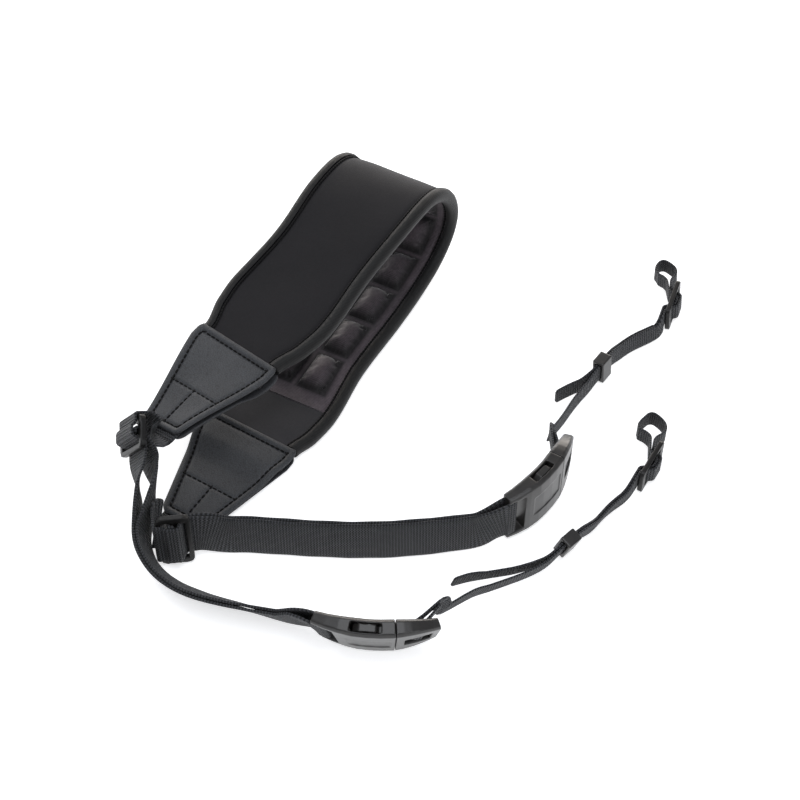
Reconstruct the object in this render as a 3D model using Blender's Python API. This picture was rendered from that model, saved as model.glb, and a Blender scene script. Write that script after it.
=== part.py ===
"""Padded camera neck strap, folded over on a table with both webbing ends laid out to the right.

Units are metres and +Z is up. The pad lies as an arch: its lower layer flat on the table, its
fold at the far end and its upper layer above, so that both leather ends point the same way.
Every strap follows a line that is traced stretch by stretch from a short table of headings,
and every hard piece sits on such a line, so the pieces stay threaded when a size changes.

Side A leaves the upper end of the pad, side B the lower end.
On each line, s runs along the strap, w across it and n out of its face.
"""
import math

import bpy
import numpy as np

MM = 0.001
GAP = 0.3 * MM                      # between pieces that touch

# Pad
PAD_LENGTH = 363 * MM               # along the middle, between the patches' straight edges
PAD_WIDTH = 65 * MM
SHELL_THICKNESS = 3.6 * MM
PANEL_THICKNESS = 1.2 * MM          # inner skin between the cells
BINDING_WIDTH = 6 * MM
BINDING_THICKNESS = 1.3 * MM
CELL_HEIGHT = 4.5 * MM
CELL_PITCH = 29 * MM
CELL_GAP = 4.5 * MM
CELL_BORDER = 9 * MM                # plain strip between the cells and the pad's edge
END_PANEL_LENGTH = 27.5 * MM
CELL_END_MARGIN = 8.5 * MM          # plain strip between the end panels and the first cells

# Leather patches
PATCH_LENGTH = {"a": 61 * MM, "b": 66 * MM}
PATCH_WIDTH = 53 * MM
PATCH_SPREAD = {"a": 0.0, "b": 6 * MM}          # more width on the left of the straight edge
PATCH_TUCK = 1.6 * MM               # the leather under the lying end is drawn in by this
PATCH_TIP_WIDTH = 27 * MM
PATCH_CORNER = 4 * MM               # cut off each corner
LEATHER_THICKNESS = 1.3 * MM
PATCH_OVERLAP = 13 * MM             # how far the pad reaches in under the leather
PATCH_ROOM = 0.2 * MM               # more than the gap, each side of the webbing in the patch
PAST_PATCH = 3 * MM                 # the webbing runs on straight past the patch
PAST_PAD = 1.5 * MM                 # the inner leather stays level this far past the pad's end

# Webbing
WIDE_WEBBING = 25 * MM
WIDE_THICKNESS = 1.4 * MM
NARROW_WEBBING = 10 * MM
NARROW_THICKNESS = 1.1 * MM
LAYER_GAP = 0.5 * MM                # between two layers of one strap
STRAP_LIFT = 0.5 * MM               # the straps' edges above the table the pad lies on

# Three-bar slider on the wide webbing
SLIDER_LENGTH = 17 * MM
SLIDER_MARGIN = 3.8 * MM            # frame beside the webbing, each side
SLIDER_THICKNESS = 3 * MM
SLIDER_BAR = 2.6 * MM
SLIDER_CORNER = 3 * MM
PAST_SLIDER = 2 * MM                # straight webbing on past a slider

# Side-release buckle
SOCKET_LENGTH = 37 * MM
PLUG_LENGTH = 20.5 * MM               # outside the socket
BUCKLE_MARGIN = 4.5 * MM            # plastic beside the wide webbing, each side
BUCKLE_THICKNESS = 9 * MM
BUCKLE_WALL = 1.7 * MM
BUCKLE_BEND = 44.0                  # degrees over the fastened buckle
BUCKLE_BAR = 3.5 * MM
BUCKLE_BAR_HALF = 1.5 * MM          # half the bar's thickness
BUCKLE_SLOT = 6 * MM
WINDOW_LENGTH = 14 * MM
WINDOW_START = 17 * MM              # from the socket's webbing end
ARM_WIDTH = 3.2 * MM
PLUG_TIP_WIDTH = 19 * MM
PLUG_SLOT = 4.5 * MM
PLUG_BAR = 3.5 * MM
PLUG_BAR_HALF = 1.3 * MM            # half the bar's thickness
PLUG_BAR_FROM_END = 10 * MM
PLUG_TONGUE = (6 * MM, 15 * MM)      # width, and length inside the socket
PLUG_DROP = 2.2 * MM                # the webbing leaves this far behind the plug's bar

# Keeper and three-bar slider on the narrow webbing
KEEPER_LENGTH = 9 * MM
KEEPER_WALL = 1.8 * MM
LOOP_SLIDER_LENGTH = 26 * MM
LOOP_SLIDER_MARGIN = 2.8 * MM
LOOP_SLIDER_THICKNESS = 2.6 * MM
LOOP_SLIDER_BAR = 4 * MM
LOOP_SLIDER_CORNER = 2 * MM
LOOP_LENGTH = 22 * MM               # the loop for the camera, past the slider
LOOP_WIDTH = {"a": 14 * MM, "b": 10 * MM}
LOOP_OFFSET = 3.5 * MM              # the loop leaves to the back of its slider
SEWN_FOLD = 15 * MM                 # doubled webbing sewn down at the plug

# The pad's line: share of PAD_LENGTH, heading on the table, pitch up from it, roll
PAD_LINE = [
    # share, heading, pitch, lean
    (0.00, 58, 0, 90),
    (0.057, 62, 0, 90),
    (0.29, 63, 0, 90),
    (0.392, 63, 9, 90),
    (0.453, 63, 38, 90),
    (0.5235, 62.5, 98, 90),
    (0.5945, 61, 138, 90),
    (0.6755, 59, 181, 90),
    (0.777, 56, 193, 90),
    (0.8885, 53, 191, 90),
    (1.00, 51, 189, 90),
]
PATCH_A_LEAN = 74.0                 # at the tip of patch A, which rolls towards its slider

# The pad's outline: share of PAD_LENGTH, share of PAD_WIDTH on each side of the middle
PAD_OUTLINE = [
    # share, left, right
    (0.000, 0.47, 0.39),
    (0.032, 0.495, 0.445),
    (0.078, 0.505, 0.475),
    (0.179, 0.465, 0.435),
    (0.290, 0.49, 0.46),
    (0.422, 0.50, 0.475),
    (0.534, 0.53, 0.50),
    (0.696, 0.53, 0.49),
    (0.807, 0.495, 0.465),
    (0.909, 0.515, 0.505),
    (0.954, 0.48, 0.475),
    (1.000, 0.40, 0.40),
]

# Where the outer corner of each slider lies from the tip of its patch: out of the tip,
# to its left and up, then the slider's heading, pitch and lean
SLIDER_PLACE = {
    "a": dict(out=5.1 * MM, left=-10.8 * MM, up=5 * MM, heading=-87.0, pitch=-27.0, lean=26.0),
    "b": dict(out=20.8 * MM, left=2.2 * MM, up=0.0, heading=7.0, pitch=0.0, lean=6.0),
}

# How far behind its slider the webbing has finished its twist
LEAD_BEHIND = {"a": 2 * MM, "b": 7 * MM}

# Wide webbing from slider to buckle: share of the run, heading, lean, lift above the table
WIDE_RUN = {
    "a": [
        # share, heading, lean, lift
        (0.12, -87, 2, 12 * MM),
        (0.26, -82, -10, 4 * MM),
        (0.36, -58, -20, 1 * MM),
        (0.47, -36, -30, 0.0),
        (0.57, -23, -34, 0.0),
        (0.68, -16, -33, 0.0),
        (0.86, -16, -26, 0.0),
        (1.00, -24, -21, 0.0),
    ],
    "b": [
        # share, heading, lean, lift
        (0.12, 0, 5, 0.0),
        (0.24, -5, 5, 0.0),
        (0.45, -2, 5, 0.0),
        (0.70, 6, 5, 0.0),
        (0.88, 11, 3, 0.0),
        (1.00, 31, 0, 0.0),
    ],
}
WIDE_RUN_LENGTH = {"a": 151 * MM, "b": 156 * MM}
WIDE_BULGE = {"a": 7 * MM, "b": 0.0}           # the return layer stands off behind the slider
BULGE_AT = 14 * MM                             # past the slider, where it stands off most
BULGE_END = 42 * MM                            # past the slider, where the layers meet again
WRAP_RISE = 12 * MM                            # the webbing rises to the buckle's bar over this
WRAP_FALL = 14 * MM                            # and comes back to its layer over this

# Narrow webbing from the plug to the keeper, then from the keeper to the loop slider
NARROW_TURN = {"a": 30.0, "b": 26.0}           # the webbing leaves the plug at this angle
FIRST_RUN = {
    "a": [
        # share, heading, lean, lift
        (0.14, 38, -16, 4 * MM),
        (0.34, 35, -18, 2 * MM),
        (0.48, 22, -28, 0.0),
        (0.62, 23, -28, 0.0),
        (0.84, 33, -24, 0.0),
        (1.00, 44, -18, 0.0),
    ],
    "b": [
        # share, heading, lean, lift
        (0.20, 60, -4, 4 * MM),
        (0.50, 60, 1, 0.3 * MM),
        (0.80, 52, 3, 0.3 * MM),
        (1.00, 54, 5, 0.0),
    ],
}
FIRST_RUN_LENGTH = {"a": 95 * MM, "b": 78 * MM}
SECOND_RUN = {
    "a": [
        # share, heading, lean, lift
        (0.40, 52, -14, 0.0),
        (0.75, 40, -8, 0.0),
        (1.00, 60, 0, 0.0),
    ],
    "b": [
        # share, heading, lean, lift
        (0.30, 43, 9, 0.0),
        (0.65, 30, 12, 0.0),
        (0.82, 34, 10, 0.0),
        (1.00, 70, 5, 0.0),
    ],
}
SECOND_RUN_LENGTH = {"a": 51 * MM, "b": 45 * MM}
LOOP_TURN = {"a": 80.0, "b": 78.0}             # the camera loop curls to the left

# Free end of the narrow webbing past the keeper: length, and its distance out at the end
TAIL_LENGTH = {"a": 58 * MM, "b": 26 * MM}
TAIL_SPREAD = {"a": 8 * MM, "b": 9 * MM}

# Colour and roughness of each kind of piece
PLASTIC = ((0.03, 0.028, 0.027), 0.32)
CLOTH = ((0.022, 0.022, 0.024), 0.75)
LEATHER = ((0.028, 0.029, 0.031), 0.5)
FOAM_CLOTH = ((0.018, 0.018, 0.02), 0.85)
INNER_CLOTH = ((0.03, 0.022, 0.028), 0.7)

# Steps of the faceted solids
PAD_STEP = 6 * MM
PATCH_STEP = 7 * MM
CELL_SHARES = (0, 0.12, 0.5, 0.88, 1)
RUN_STEP = 7 * MM
CORNER_STEPS = 3

# Derived sizes
SHELL_HALF = SHELL_THICKNESS / 2
PANEL_BOTTOM = SHELL_HALF + GAP
PANEL_TOP = PANEL_BOTTOM + PANEL_THICKNESS
TABLE_TO_LINE = SHELL_HALF + GAP + max(BINDING_THICKNESS, LEATHER_THICKNESS)
SLIDER_WIDTH = WIDE_WEBBING + 2 * SLIDER_MARGIN
BUCKLE_WIDTH = WIDE_WEBBING + 2 * BUCKLE_MARGIN
BUCKLE_LENGTH = SOCKET_LENGTH + PLUG_LENGTH
LOOP_SLIDER_WIDTH = NARROW_WEBBING + 2 * LOOP_SLIDER_MARGIN
KEEPER_WIDTH = NARROW_WEBBING + 2 * (GAP + KEEPER_WALL)
KEEPER_HOLE = 2 * NARROW_THICKNESS + LAYER_GAP + 2 * GAP
WIDE_LAYER = WIDE_THICKNESS + LAYER_GAP
NARROW_LAYER = NARROW_THICKNESS + LAYER_GAP


def smooth_curve(keys, values, points, start_slope=0.0, end_slope=0.0):
    """A smooth curve through the table's values that never overshoots them."""
    keys = np.asarray(keys, float)
    values = np.asarray(values, float)
    spans = np.diff(keys)
    rises = np.diff(values) / spans
    slopes = np.zeros_like(values)
    slopes[0] = start_slope
    slopes[-1] = end_slope
    for i in range(1, len(keys) - 1):
        if rises[i - 1] * rises[i] > 0:
            before = 2 * spans[i] + spans[i - 1]
            after = spans[i] + 2 * spans[i - 1]
            slopes[i] = (before + after) / (before / rises[i - 1] + after / rises[i])
    cell = np.clip(np.searchsorted(keys, points, side="right") - 1, 0, len(spans) - 1)
    t = (points - keys[cell]) / spans[cell]
    return ((1 + 2 * t) * (1 - t) ** 2 * values[cell]
            + t * (1 - t) ** 2 * spans[cell] * slopes[cell]
            + t * t * (3 - 2 * t) * values[cell + 1]
            + t * t * (t - 1) * spans[cell] * slopes[cell + 1])


def directions(heading, pitch, lean):
    """Unit vectors along the strap, across it and out of its face, from angles in degrees."""
    heading, pitch, lean = (np.radians(angle) for angle in (heading, pitch, lean))
    along = np.stack([np.cos(pitch) * np.cos(heading), np.cos(pitch) * np.sin(heading),
                      np.sin(pitch)], -1)
    left = np.stack([-np.sin(heading), np.cos(heading), 0 * heading], -1)
    above = np.cross(along, left)
    across = np.cos(lean)[..., None] * above + np.sin(lean)[..., None] * left
    return along, across, np.cross(along, across)


class Line:
    """The line that a strap follows, with its directions at every point."""

    STEP = 1 * MM

    def __init__(self, start):
        self.points = [np.asarray(start, float)]
        self.lengths = [0.0]
        self.frames = []
        self.angles = (0.0, 0.0, 0.0)

    def trace(self, length, heading, pitch, lean):
        """Add a stretch whose three angles are functions of the share of its length."""
        count = max(2, int(round(length / self.STEP)))
        shares = np.linspace(0, 1, count + 1)
        middles = (shares[1:] + shares[:-1]) / 2
        steps = directions(heading(middles), pitch(middles), lean(middles))[0] * length / count
        along, across, out = directions(heading(shares), pitch(shares), lean(shares))
        if not self.frames:
            self.frames.append((along[0], across[0], out[0]))
        for i in range(count):
            self.points.append(self.points[-1] + steps[i])
            self.lengths.append(self.lengths[-1] + length / count)
            self.frames.append((along[i + 1], across[i + 1], out[i + 1]))
        self.angles = tuple(float(angle(np.array([1.0]))[0]) for angle in (heading, pitch, lean))
        return self

    def straight(self, length, heading=None, pitch=None, lean=None):
        """Add a straight stretch, which goes on as before unless told otherwise."""
        given = (heading, pitch, lean)
        fixed = [old if new is None else new for old, new in zip(self.angles, given)]
        return self.trace(length, *[lambda t, a=a: a + 0 * t for a in fixed])

    def arc(self, length, turn):
        """Add an even bend to the left."""
        heading, pitch, lean = self.angles
        return self.trace(length, lambda t: heading + turn * t, lambda t: pitch + 0 * t,
                          lambda t: lean + 0 * t)

    def run(self, length, rows, rest):
        """Add a stretch along the table from rows of share, heading, lean and lift.

        rest gives the height at which the middle of the strap stands for a lean.
        """
        heading, pitch, lean = self.angles
        shares = [0.0] + [row[0] for row in rows]
        headings = [heading] + [row[1] for row in rows]
        leans = [lean] + [row[2] for row in rows]
        heights = [self.points[-1][2]] + [rest(row[0], row[2]) + row[3] for row in rows]
        first_slope = math.tan(math.radians(pitch)) * length * math.cos(math.radians(pitch))
        small = 1e-4

        def climb(t):
            high = smooth_curve(shares, heights, np.minimum(t + small, 1), first_slope)
            low = smooth_curve(shares, heights, np.maximum(t - small, 0), first_slope)
            width = (np.minimum(t + small, 1) - np.maximum(t - small, 0)) * length
            return np.degrees(np.arcsin(np.clip((high - low) / width, -0.98, 0.98)))

        return self.trace(length, lambda t: smooth_curve(shares, headings, t), climb,
                          lambda t: smooth_curve(shares, leans, t))

    def close(self):
        """Turn the traced lists into arrays."""
        self.points = np.array(self.points)
        self.lengths = np.array(self.lengths)
        self.frames = np.array(self.frames)
        return self

    def at(self, s):
        """Point and the three directions at s, going straight on past either end."""
        inside = min(max(s, 0.0), self.lengths[-1])
        point = np.array([np.interp(inside, self.lengths, self.points[:, i]) for i in range(3)])
        frame = np.array([[np.interp(inside, self.lengths, self.frames[:, row, i])
                           for i in range(3)] for row in range(3)])
        along = frame[0] / np.linalg.norm(frame[0])
        out = np.cross(along, frame[1])
        out /= np.linalg.norm(out)
        return point + along * (s - inside), along, np.cross(out, along), out

    def place(self, s, w, n):
        """World point at s along, w across and n out of the strap."""
        point, _, across, out = self.at(s)
        return point + across * w + out * n

    def end(self):
        return self.lengths[-1]


def share_of(rows, column, share):
    """Smooth value of a table column at a share of the length."""
    keys = [row[0] for row in rows]
    return float(smooth_curve(keys, [row[column] for row in rows], np.array([share]))[0])


def on_edge(width, thickness, lean):
    """Height of the middle of a strip of this size that stands on its edge."""
    angle = math.radians(lean)
    return width / 2 * math.cos(angle) + thickness / 2 * abs(math.sin(angle))


# Building solids

def material(name, colour, roughness, metallic=0.0):
    """One Principled material."""
    result = bpy.data.materials.new(name)
    result.use_nodes = True
    shader = result.node_tree.nodes["Principled BSDF"]
    shader.inputs["Base Color"].default_value = (*colour, 1.0)
    shader.inputs["Roughness"].default_value = roughness
    shader.inputs["Metallic"].default_value = metallic
    return result


def solid(name, points, faces, look=None, sharp_angle=35.0):
    """Make one object from points and faces, with its round parts shaded smooth."""
    mesh = bpy.data.meshes.new(name)
    mesh.from_pydata([tuple(point) for point in points], [], faces)
    mesh.validate()
    mesh.shade_smooth()
    mesh.set_sharp_from_angle(angle=math.radians(sharp_angle))
    item = bpy.data.objects.new(name, mesh)
    bpy.context.scene.collection.objects.link(item)
    if look:
        mesh.materials.append(material(name, *look))
    return item


def cutter(name, points, faces):
    """A hidden solid that only cuts."""
    item = solid(name, points, faces)
    item.hide_render = True
    item.display_type = "WIRE"
    return item


def combine(target, tool, operation):
    """Cut a solid with another or join it to another."""
    step = target.modifiers.new(tool.name, "BOOLEAN")
    step.operation = operation
    step.solver = "EXACT"
    step.object = tool


def swept(line, sections):
    """Points and faces of a closed solid through rings of (s, w, n) corners."""
    points = [line.place(*corner) for ring in sections for corner in ring]
    size = len(sections[0])
    faces = [tuple(range(size))[::-1]]
    for i in range(len(sections) - 1):
        base = i * size
        for j in range(size):
            k = (j + 1) % size
            faces.append((base + j, base + k, base + size + k, base + size + j))
    last = (len(sections) - 1) * size
    faces.append(tuple(range(last, last + size)))
    return points, faces


def block(line, s_range, w_range, n_range, steps=1):
    """Points and faces of a box that follows the line."""
    sections = []
    for i in range(steps + 1):
        s = s_range[0] + (s_range[1] - s_range[0]) * i / steps
        sections.append([(s, w_range[0], n_range[0]), (s, w_range[1], n_range[0]),
                         (s, w_range[1], n_range[1]), (s, w_range[0], n_range[1])])
    return swept(line, sections)


def sheet(line, stations, spots, under, over, under_spots=None):
    """Points and faces of a slab on the line.

    spots(s) lists its w places from edge to edge, under(s) is its lower n, over(s, w) its upper n.
    The lower face spans from edge to edge in one unless under_spots lists places as well.
    """
    points = []
    for s in stations:
        places = spots(s)
        lower = under_spots(s) if under_spots else [places[0], places[-1]]
        points += [line.place(s, w, under(s)) for w in lower]
        points += [line.place(s, w, over(s, w)) for w in places]
    size = len(points) // len(stations)
    below = len(lower)
    faces = []
    for i in range(len(stations) - 1):
        a = i * size
        b = a + size
        for j in range(below - 1):
            faces.append((a + j, a + j + 1, b + j + 1, b + j))
        for j in range(below, size - 1):
            faces.append((a + j, b + j, b + j + 1, a + j + 1))
        faces.append((a + below, a, b, b + below))
        faces.append((a + below - 1, a + size - 1, b + size - 1, b + below - 1))
    last = (len(stations) - 1) * size
    faces.append((*range(below - 1, -1, -1), *range(below, size)))
    faces.append((*range(last, last + below), *range(last + size - 1, last + below - 1, -1)))
    return points, faces


def ribbon(sections, width, thickness):
    """Points and faces of webbing through a list of (middle, across) pairs."""
    middles = np.array([section[0] for section in sections])
    points = []
    for i, (middle, across) in enumerate(sections):
        ahead = middles[min(i + 1, len(middles) - 1)]
        behind = middles[max(i - 1, 0)]
        along = (ahead - behind) / np.linalg.norm(ahead - behind)
        across = across - along * np.dot(along, across)
        across = across / np.linalg.norm(across)
        out = np.cross(along, across)
        half_bend = 1.0
        if 0 < i < len(middles) - 1:
            before = middles[i] - behind
            after = ahead - middles[i]
            cosine = np.dot(before, after) / (np.linalg.norm(before) * np.linalg.norm(after))
            half_bend = math.sqrt(max(0.3, (1 + cosine) / 2))
        side = out * thickness / 2 / half_bend
        edge = across * width / 2
        points += [middle - edge - side, middle + edge - side,
                   middle + edge + side, middle - edge + side]
    faces = [(3, 2, 1, 0)]
    for i in range(len(sections) - 1):
        base = 4 * i
        for j in range(4):
            k = (j + 1) % 4
            faces.append((base + j, base + k, base + 4 + k, base + 4 + j))
    last = 4 * (len(sections) - 1)
    faces.append((last, last + 1, last + 2, last + 3))
    return points, faces


def rounded(corners, steps=CORNER_STEPS):
    """A path in s and n through corners (s, n, radius), each corner turned into an arc."""
    path = [np.array(corners[0][:2])]
    for i in range(1, len(corners) - 1):
        before, here, after = (np.array(corners[j][:2]) for j in (i - 1, i, i + 1))
        radius = corners[i][2]
        entry = (before - here) / np.linalg.norm(before - here)
        leave = (after - here) / np.linalg.norm(after - here)
        angle = math.acos(max(-1.0, min(1.0, float(np.dot(entry, leave)))))
        if radius <= 0 or angle > math.radians(177):
            path.append(here)
            continue
        reach = radius / math.tan(angle / 2)
        limit = 0.49 * min(np.linalg.norm(before - here), np.linalg.norm(after - here))
        reach = min(reach, limit)
        radius = reach * math.tan(angle / 2)
        centre = here + (entry + leave) / np.linalg.norm(entry + leave) * math.hypot(reach, radius)
        first = here + entry * reach - centre
        final = here + leave * reach - centre
        sweep = math.atan2(first[0] * final[1] - first[1] * final[0], float(np.dot(first, final)))
        for j in range(steps + 1):
            turn = sweep * j / steps
            path.append(centre + np.array([first[0] * math.cos(turn) - first[1] * math.sin(turn),
                                           first[0] * math.sin(turn) + first[1] * math.cos(turn)]))
    path.append(np.array(corners[-1][:2]))
    return path


def along_line(line, path, step):
    """Sections of webbing that follow a path in s and n, with points no further apart than step."""
    sections = []
    for i, point in enumerate(path):
        if i:
            before = path[i - 1]
            count = max(1, int(math.ceil(np.linalg.norm(point - before) / step)))
            for j in range(1, count):
                s, n = before + (point - before) * j / count
                sections.append((line.place(s, 0, n), line.at(s)[2]))
        sections.append((line.place(point[0], 0, point[1]), line.at(point[0])[2]))
    return sections


def lead_in(start, start_along, start_across, end, end_along, end_across, count=10):
    """Sections of a twisted strip between two frames, on a cubic curve."""
    reach = np.linalg.norm(end - start) * 0.45
    knots = [start, start + start_along * reach, end - end_along * reach, end]
    if np.dot(start_across, end_across) < 0:
        start_across = -start_across
    sections = []
    for i in range(1, count):
        t = i / count
        weights = [(1 - t) ** 3, 3 * t * (1 - t) ** 2, 3 * t * t * (1 - t), t ** 3]
        middle = sum(weight * knot for weight, knot in zip(weights, knots))
        blend = t * t * (3 - 2 * t)
        across = start_across * (1 - blend) + end_across * blend
        sections.append((middle, across))
    return sections


# Pad

def pad_line():
    """The middle of the pad from the tip of patch B, round the fold, to the tip of patch A."""
    shares = [row[0] for row in PAD_LINE]
    headings = [row[1] for row in PAD_LINE]
    pitches = [row[2] for row in PAD_LINE]
    leans = [row[3] for row in PAD_LINE]
    line = Line((0.0, 0.0, TABLE_TO_LINE))
    line.straight(PATCH_LENGTH["b"], headings[0], pitches[0], 90.0)
    line.trace(PAD_LENGTH, lambda t: smooth_curve(shares, headings, t),
               lambda t: smooth_curve(shares, pitches, t), lambda t: smooth_curve(shares, leans, t))
    roll = PATCH_A_LEAN - leans[-1]
    line.straight(PATCH_OVERLAP)
    line.trace(PATCH_LENGTH["a"] - PATCH_OVERLAP, lambda t: headings[-1] + 0 * t,
               lambda t: pitches[-1] + 0 * t, lambda t: leans[-1] + roll * t * t * (3 - 2 * t))
    return line.close()


def pad_edges(s, inset=0.0):
    """The w of the pad's right and left edge at s, moved in by inset."""
    share = min(max((s - PAD_START) / PAD_LENGTH, 0.0), 1.0)
    left = share_of(PAD_OUTLINE, 1, share) * PAD_WIDTH
    right = share_of(PAD_OUTLINE, 2, share) * PAD_WIDTH
    return -(right - inset), left - inset


def evenly(start, end, step):
    """Stations from start to end, no further apart than step."""
    return list(np.linspace(start, end, max(2, int(math.ceil((end - start) / step)) + 1)))


PAD_START = PATCH_LENGTH["b"]
PAD_END = PAD_START + PAD_LENGTH
SHELL_INSET = BINDING_THICKNESS + GAP
PANEL_INSET = BINDING_WIDTH * 0.35


def cell_rows():
    """Number of cell rows that fit between the end panels."""
    return int((PAD_LENGTH - 2 * END_PANEL_LENGTH - 2 * CELL_END_MARGIN) / CELL_PITCH)


def cell_field():
    """The s where the first row of cells starts and the last one ends."""
    plain = (PAD_LENGTH - cell_rows() * CELL_PITCH) / 2
    return PAD_START + plain, PAD_END - plain


def cell_zone():
    """The s where the skin with the cells starts and ends."""
    first, last = cell_field()
    return first - CELL_END_MARGIN, last + CELL_END_MARGIN


def pad_stations(start, end):
    """The s of every section between start and end, the same for all layers of the pad."""
    first, last = cell_field()
    grid = evenly(0.0, first, PAD_STEP)
    for row in range(cell_rows()):
        base = first + row * CELL_PITCH + CELL_GAP / 2
        grid += [base + (CELL_PITCH - CELL_GAP) * share for share in CELL_SHARES]
    grid += evenly(last, PAD_END + PATCH_LENGTH["a"], PAD_STEP)
    return [start] + [s for s in grid if start + MM < s < end - MM] + [end]


def pad_shell(line):
    start = PAD_START - PATCH_OVERLAP
    end = PAD_END + PATCH_OVERLAP
    stations = pad_stations(start, end)
    points, faces = sheet(line, stations, lambda s: pad_edges(s, SHELL_INSET),
                          lambda s: -SHELL_HALF, lambda s, w: SHELL_HALF)
    return solid("pad_shell", points, faces, FOAM_CLOTH)


def pillow(position, size):
    """Height share of a cell across one direction: flat middle, round shoulders."""
    t = min(1.0, abs(position) / (size / 2))
    return math.sqrt(max(0.0, 1 - t ** 4))


def air_cell_panel(line):
    """Inner skin with two columns of raised cells."""
    rows = cell_rows()
    start, end = cell_zone()
    first = cell_field()[0]
    cell_length = CELL_PITCH - CELL_GAP
    stations = pad_stations(start + GAP, end - GAP)
    columns = [0, 0.04, 0.14, 0.23, 0.34, 0.43, 0.47, 0.53, 0.57, 0.66, 0.77, 0.86, 0.96, 1]

    def spots(s):
        low, high = pad_edges(s, SHELL_INSET + PANEL_INSET)
        inner = low + CELL_BORDER
        width = high - CELL_BORDER - inner
        return [low] + [inner + width * part for part in columns] + [high]

    def over(s, w):
        low, high = pad_edges(s, SHELL_INSET + PANEL_INSET)
        width = (high - low - 2 * CELL_BORDER - CELL_GAP) / 2
        row = int(min(max((s - first) / CELL_PITCH, 0), rows - 1))
        middle_s = first + (row + 0.5) * CELL_PITCH
        side = 1 if w > (low + high) / 2 else -1
        middle_w = (low + high) / 2 + side * (CELL_GAP + width) / 2
        rise = pillow(s - middle_s, cell_length) * pillow(w - middle_w, width)
        return PANEL_TOP + CELL_HEIGHT * rise

    points, faces = sheet(line, stations, spots, lambda s: PANEL_BOTTOM, over)
    return solid("air_cell_panel", points, faces, INNER_CLOTH)


def end_panel(line, side):
    """Plain inner skin between the cells and the leather, which it reaches under."""
    first, last = cell_zone()
    if side == "b":
        stations = pad_stations(PAD_START - PATCH_OVERLAP, first - GAP)
    else:
        stations = pad_stations(last + GAP, PAD_END + PATCH_OVERLAP)
    points, faces = sheet(line, stations, lambda s: pad_edges(s, SHELL_INSET + PANEL_INSET),
                          lambda s: PANEL_BOTTOM, lambda s, w: PANEL_TOP)
    return solid("end_panel_" + side, points, faces, INNER_CLOTH)


def binding(line, side):
    """Tape folded round one long edge of the pad."""
    sign = 1 if side == "left" else -1
    outer = -SHELL_HALF - GAP
    inner = PANEL_TOP + GAP
    wall = BINDING_THICKNESS
    cut = wall * 0.6
    sections = []
    for s in pad_stations(PAD_START + GAP, PAD_END - GAP):
        edge = abs(pad_edges(s)[1 if side == "left" else 0])
        profile = [
            (edge - BINDING_WIDTH, outer), (edge - BINDING_WIDTH, outer - wall),
            (edge - cut, outer - wall), (edge, outer - wall + cut),
            (edge, inner + wall - cut), (edge - cut, inner + wall),
            (edge - BINDING_WIDTH, inner + wall), (edge - BINDING_WIDTH, inner),
            (edge - wall, inner), (edge - wall, outer),
        ]
        ring = [(s, sign * w, n) for w, n in profile]
        sections.append(ring if sign > 0 else ring[::-1])
    points, faces = swept(line, sections)
    return solid("binding_" + side, points, faces, CLOTH)


# Leather patches

def patch_edges(side, reach):
    """The w of the patch's right and left edge at a distance from its straight edge."""
    length = PATCH_LENGTH[side]
    shoulder = PATCH_CORNER * 2.2
    half = PATCH_WIDTH / 2
    spread = PATCH_SPREAD[side] * (1 - reach / length)
    if reach < PATCH_CORNER:
        width = half - PATCH_CORNER * 0.45 * (1 - reach / PATCH_CORNER) ** 2
    elif reach < shoulder:
        width = half
    else:
        width = half + (PATCH_TIP_WIDTH / 2 - half) * (reach - shoulder) / (length - shoulder)
    left = length - reach
    if left < PATCH_CORNER:
        width -= PATCH_CORNER * 0.6 * (1 - left / PATCH_CORNER) ** 2
    return -width, width + spread


def web_level():
    """The n of the webbing's middle inside the patch."""
    return -SHELL_HALF + PATCH_ROOM + WIDE_THICKNESS / 2


def inner_patch_level(side, reach):
    """The n of the inner patch's lower face, from over the pad down to over the webbing."""
    high = PANEL_TOP + GAP
    low = web_level() + WIDE_THICKNESS / 2 + GAP + PATCH_ROOM
    start = PATCH_OVERLAP + PAST_PAD
    share = min(max((reach - start) / (0.45 * PATCH_LENGTH[side] - start), 0.0), 1.0)
    return high + (low - high) * share * share * (3 - 2 * share)


def patch(line, side, face):
    """One leather patch, on the outer or the inner face of the pad's end."""
    sign = -1 if side == "b" else 1
    base = PAD_START if side == "b" else PAD_END
    length = PATCH_LENGTH[side]
    stations = [PATCH_CORNER * part for part in (0, 0.35, 1, 2.2)]
    stations += evenly(PATCH_CORNER * 2.2, length - PATCH_CORNER, PATCH_STEP)[1:]
    stations += [length - PATCH_CORNER * part for part in (0.5, 0.2, 0)]
    if sign < 0:
        stations = stations[::-1]

    def level(reach):
        if face == "inner":
            return inner_patch_level(side, reach)
        return -SHELL_HALF - GAP - LEATHER_THICKNESS

    tuck = PATCH_TUCK if side == "b" and face == "outer" else 0.0

    def spots(s):
        right, left = patch_edges(side, abs(s - base))
        right += tuck
        left -= tuck
        return [right, right / 3, left / 3, left] if side == "a" else [right, left]

    rolled = spots if side == "a" else None
    points, faces = sheet(line, [base + sign * reach for reach in stations], spots,
                          lambda s: level(abs(s - base)),
                          lambda s, w: level(abs(s - base)) + LEATHER_THICKNESS, rolled)
    return solid("patch_%s_%s" % (face, side), points, faces, LEATHER)


# Sliders

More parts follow.
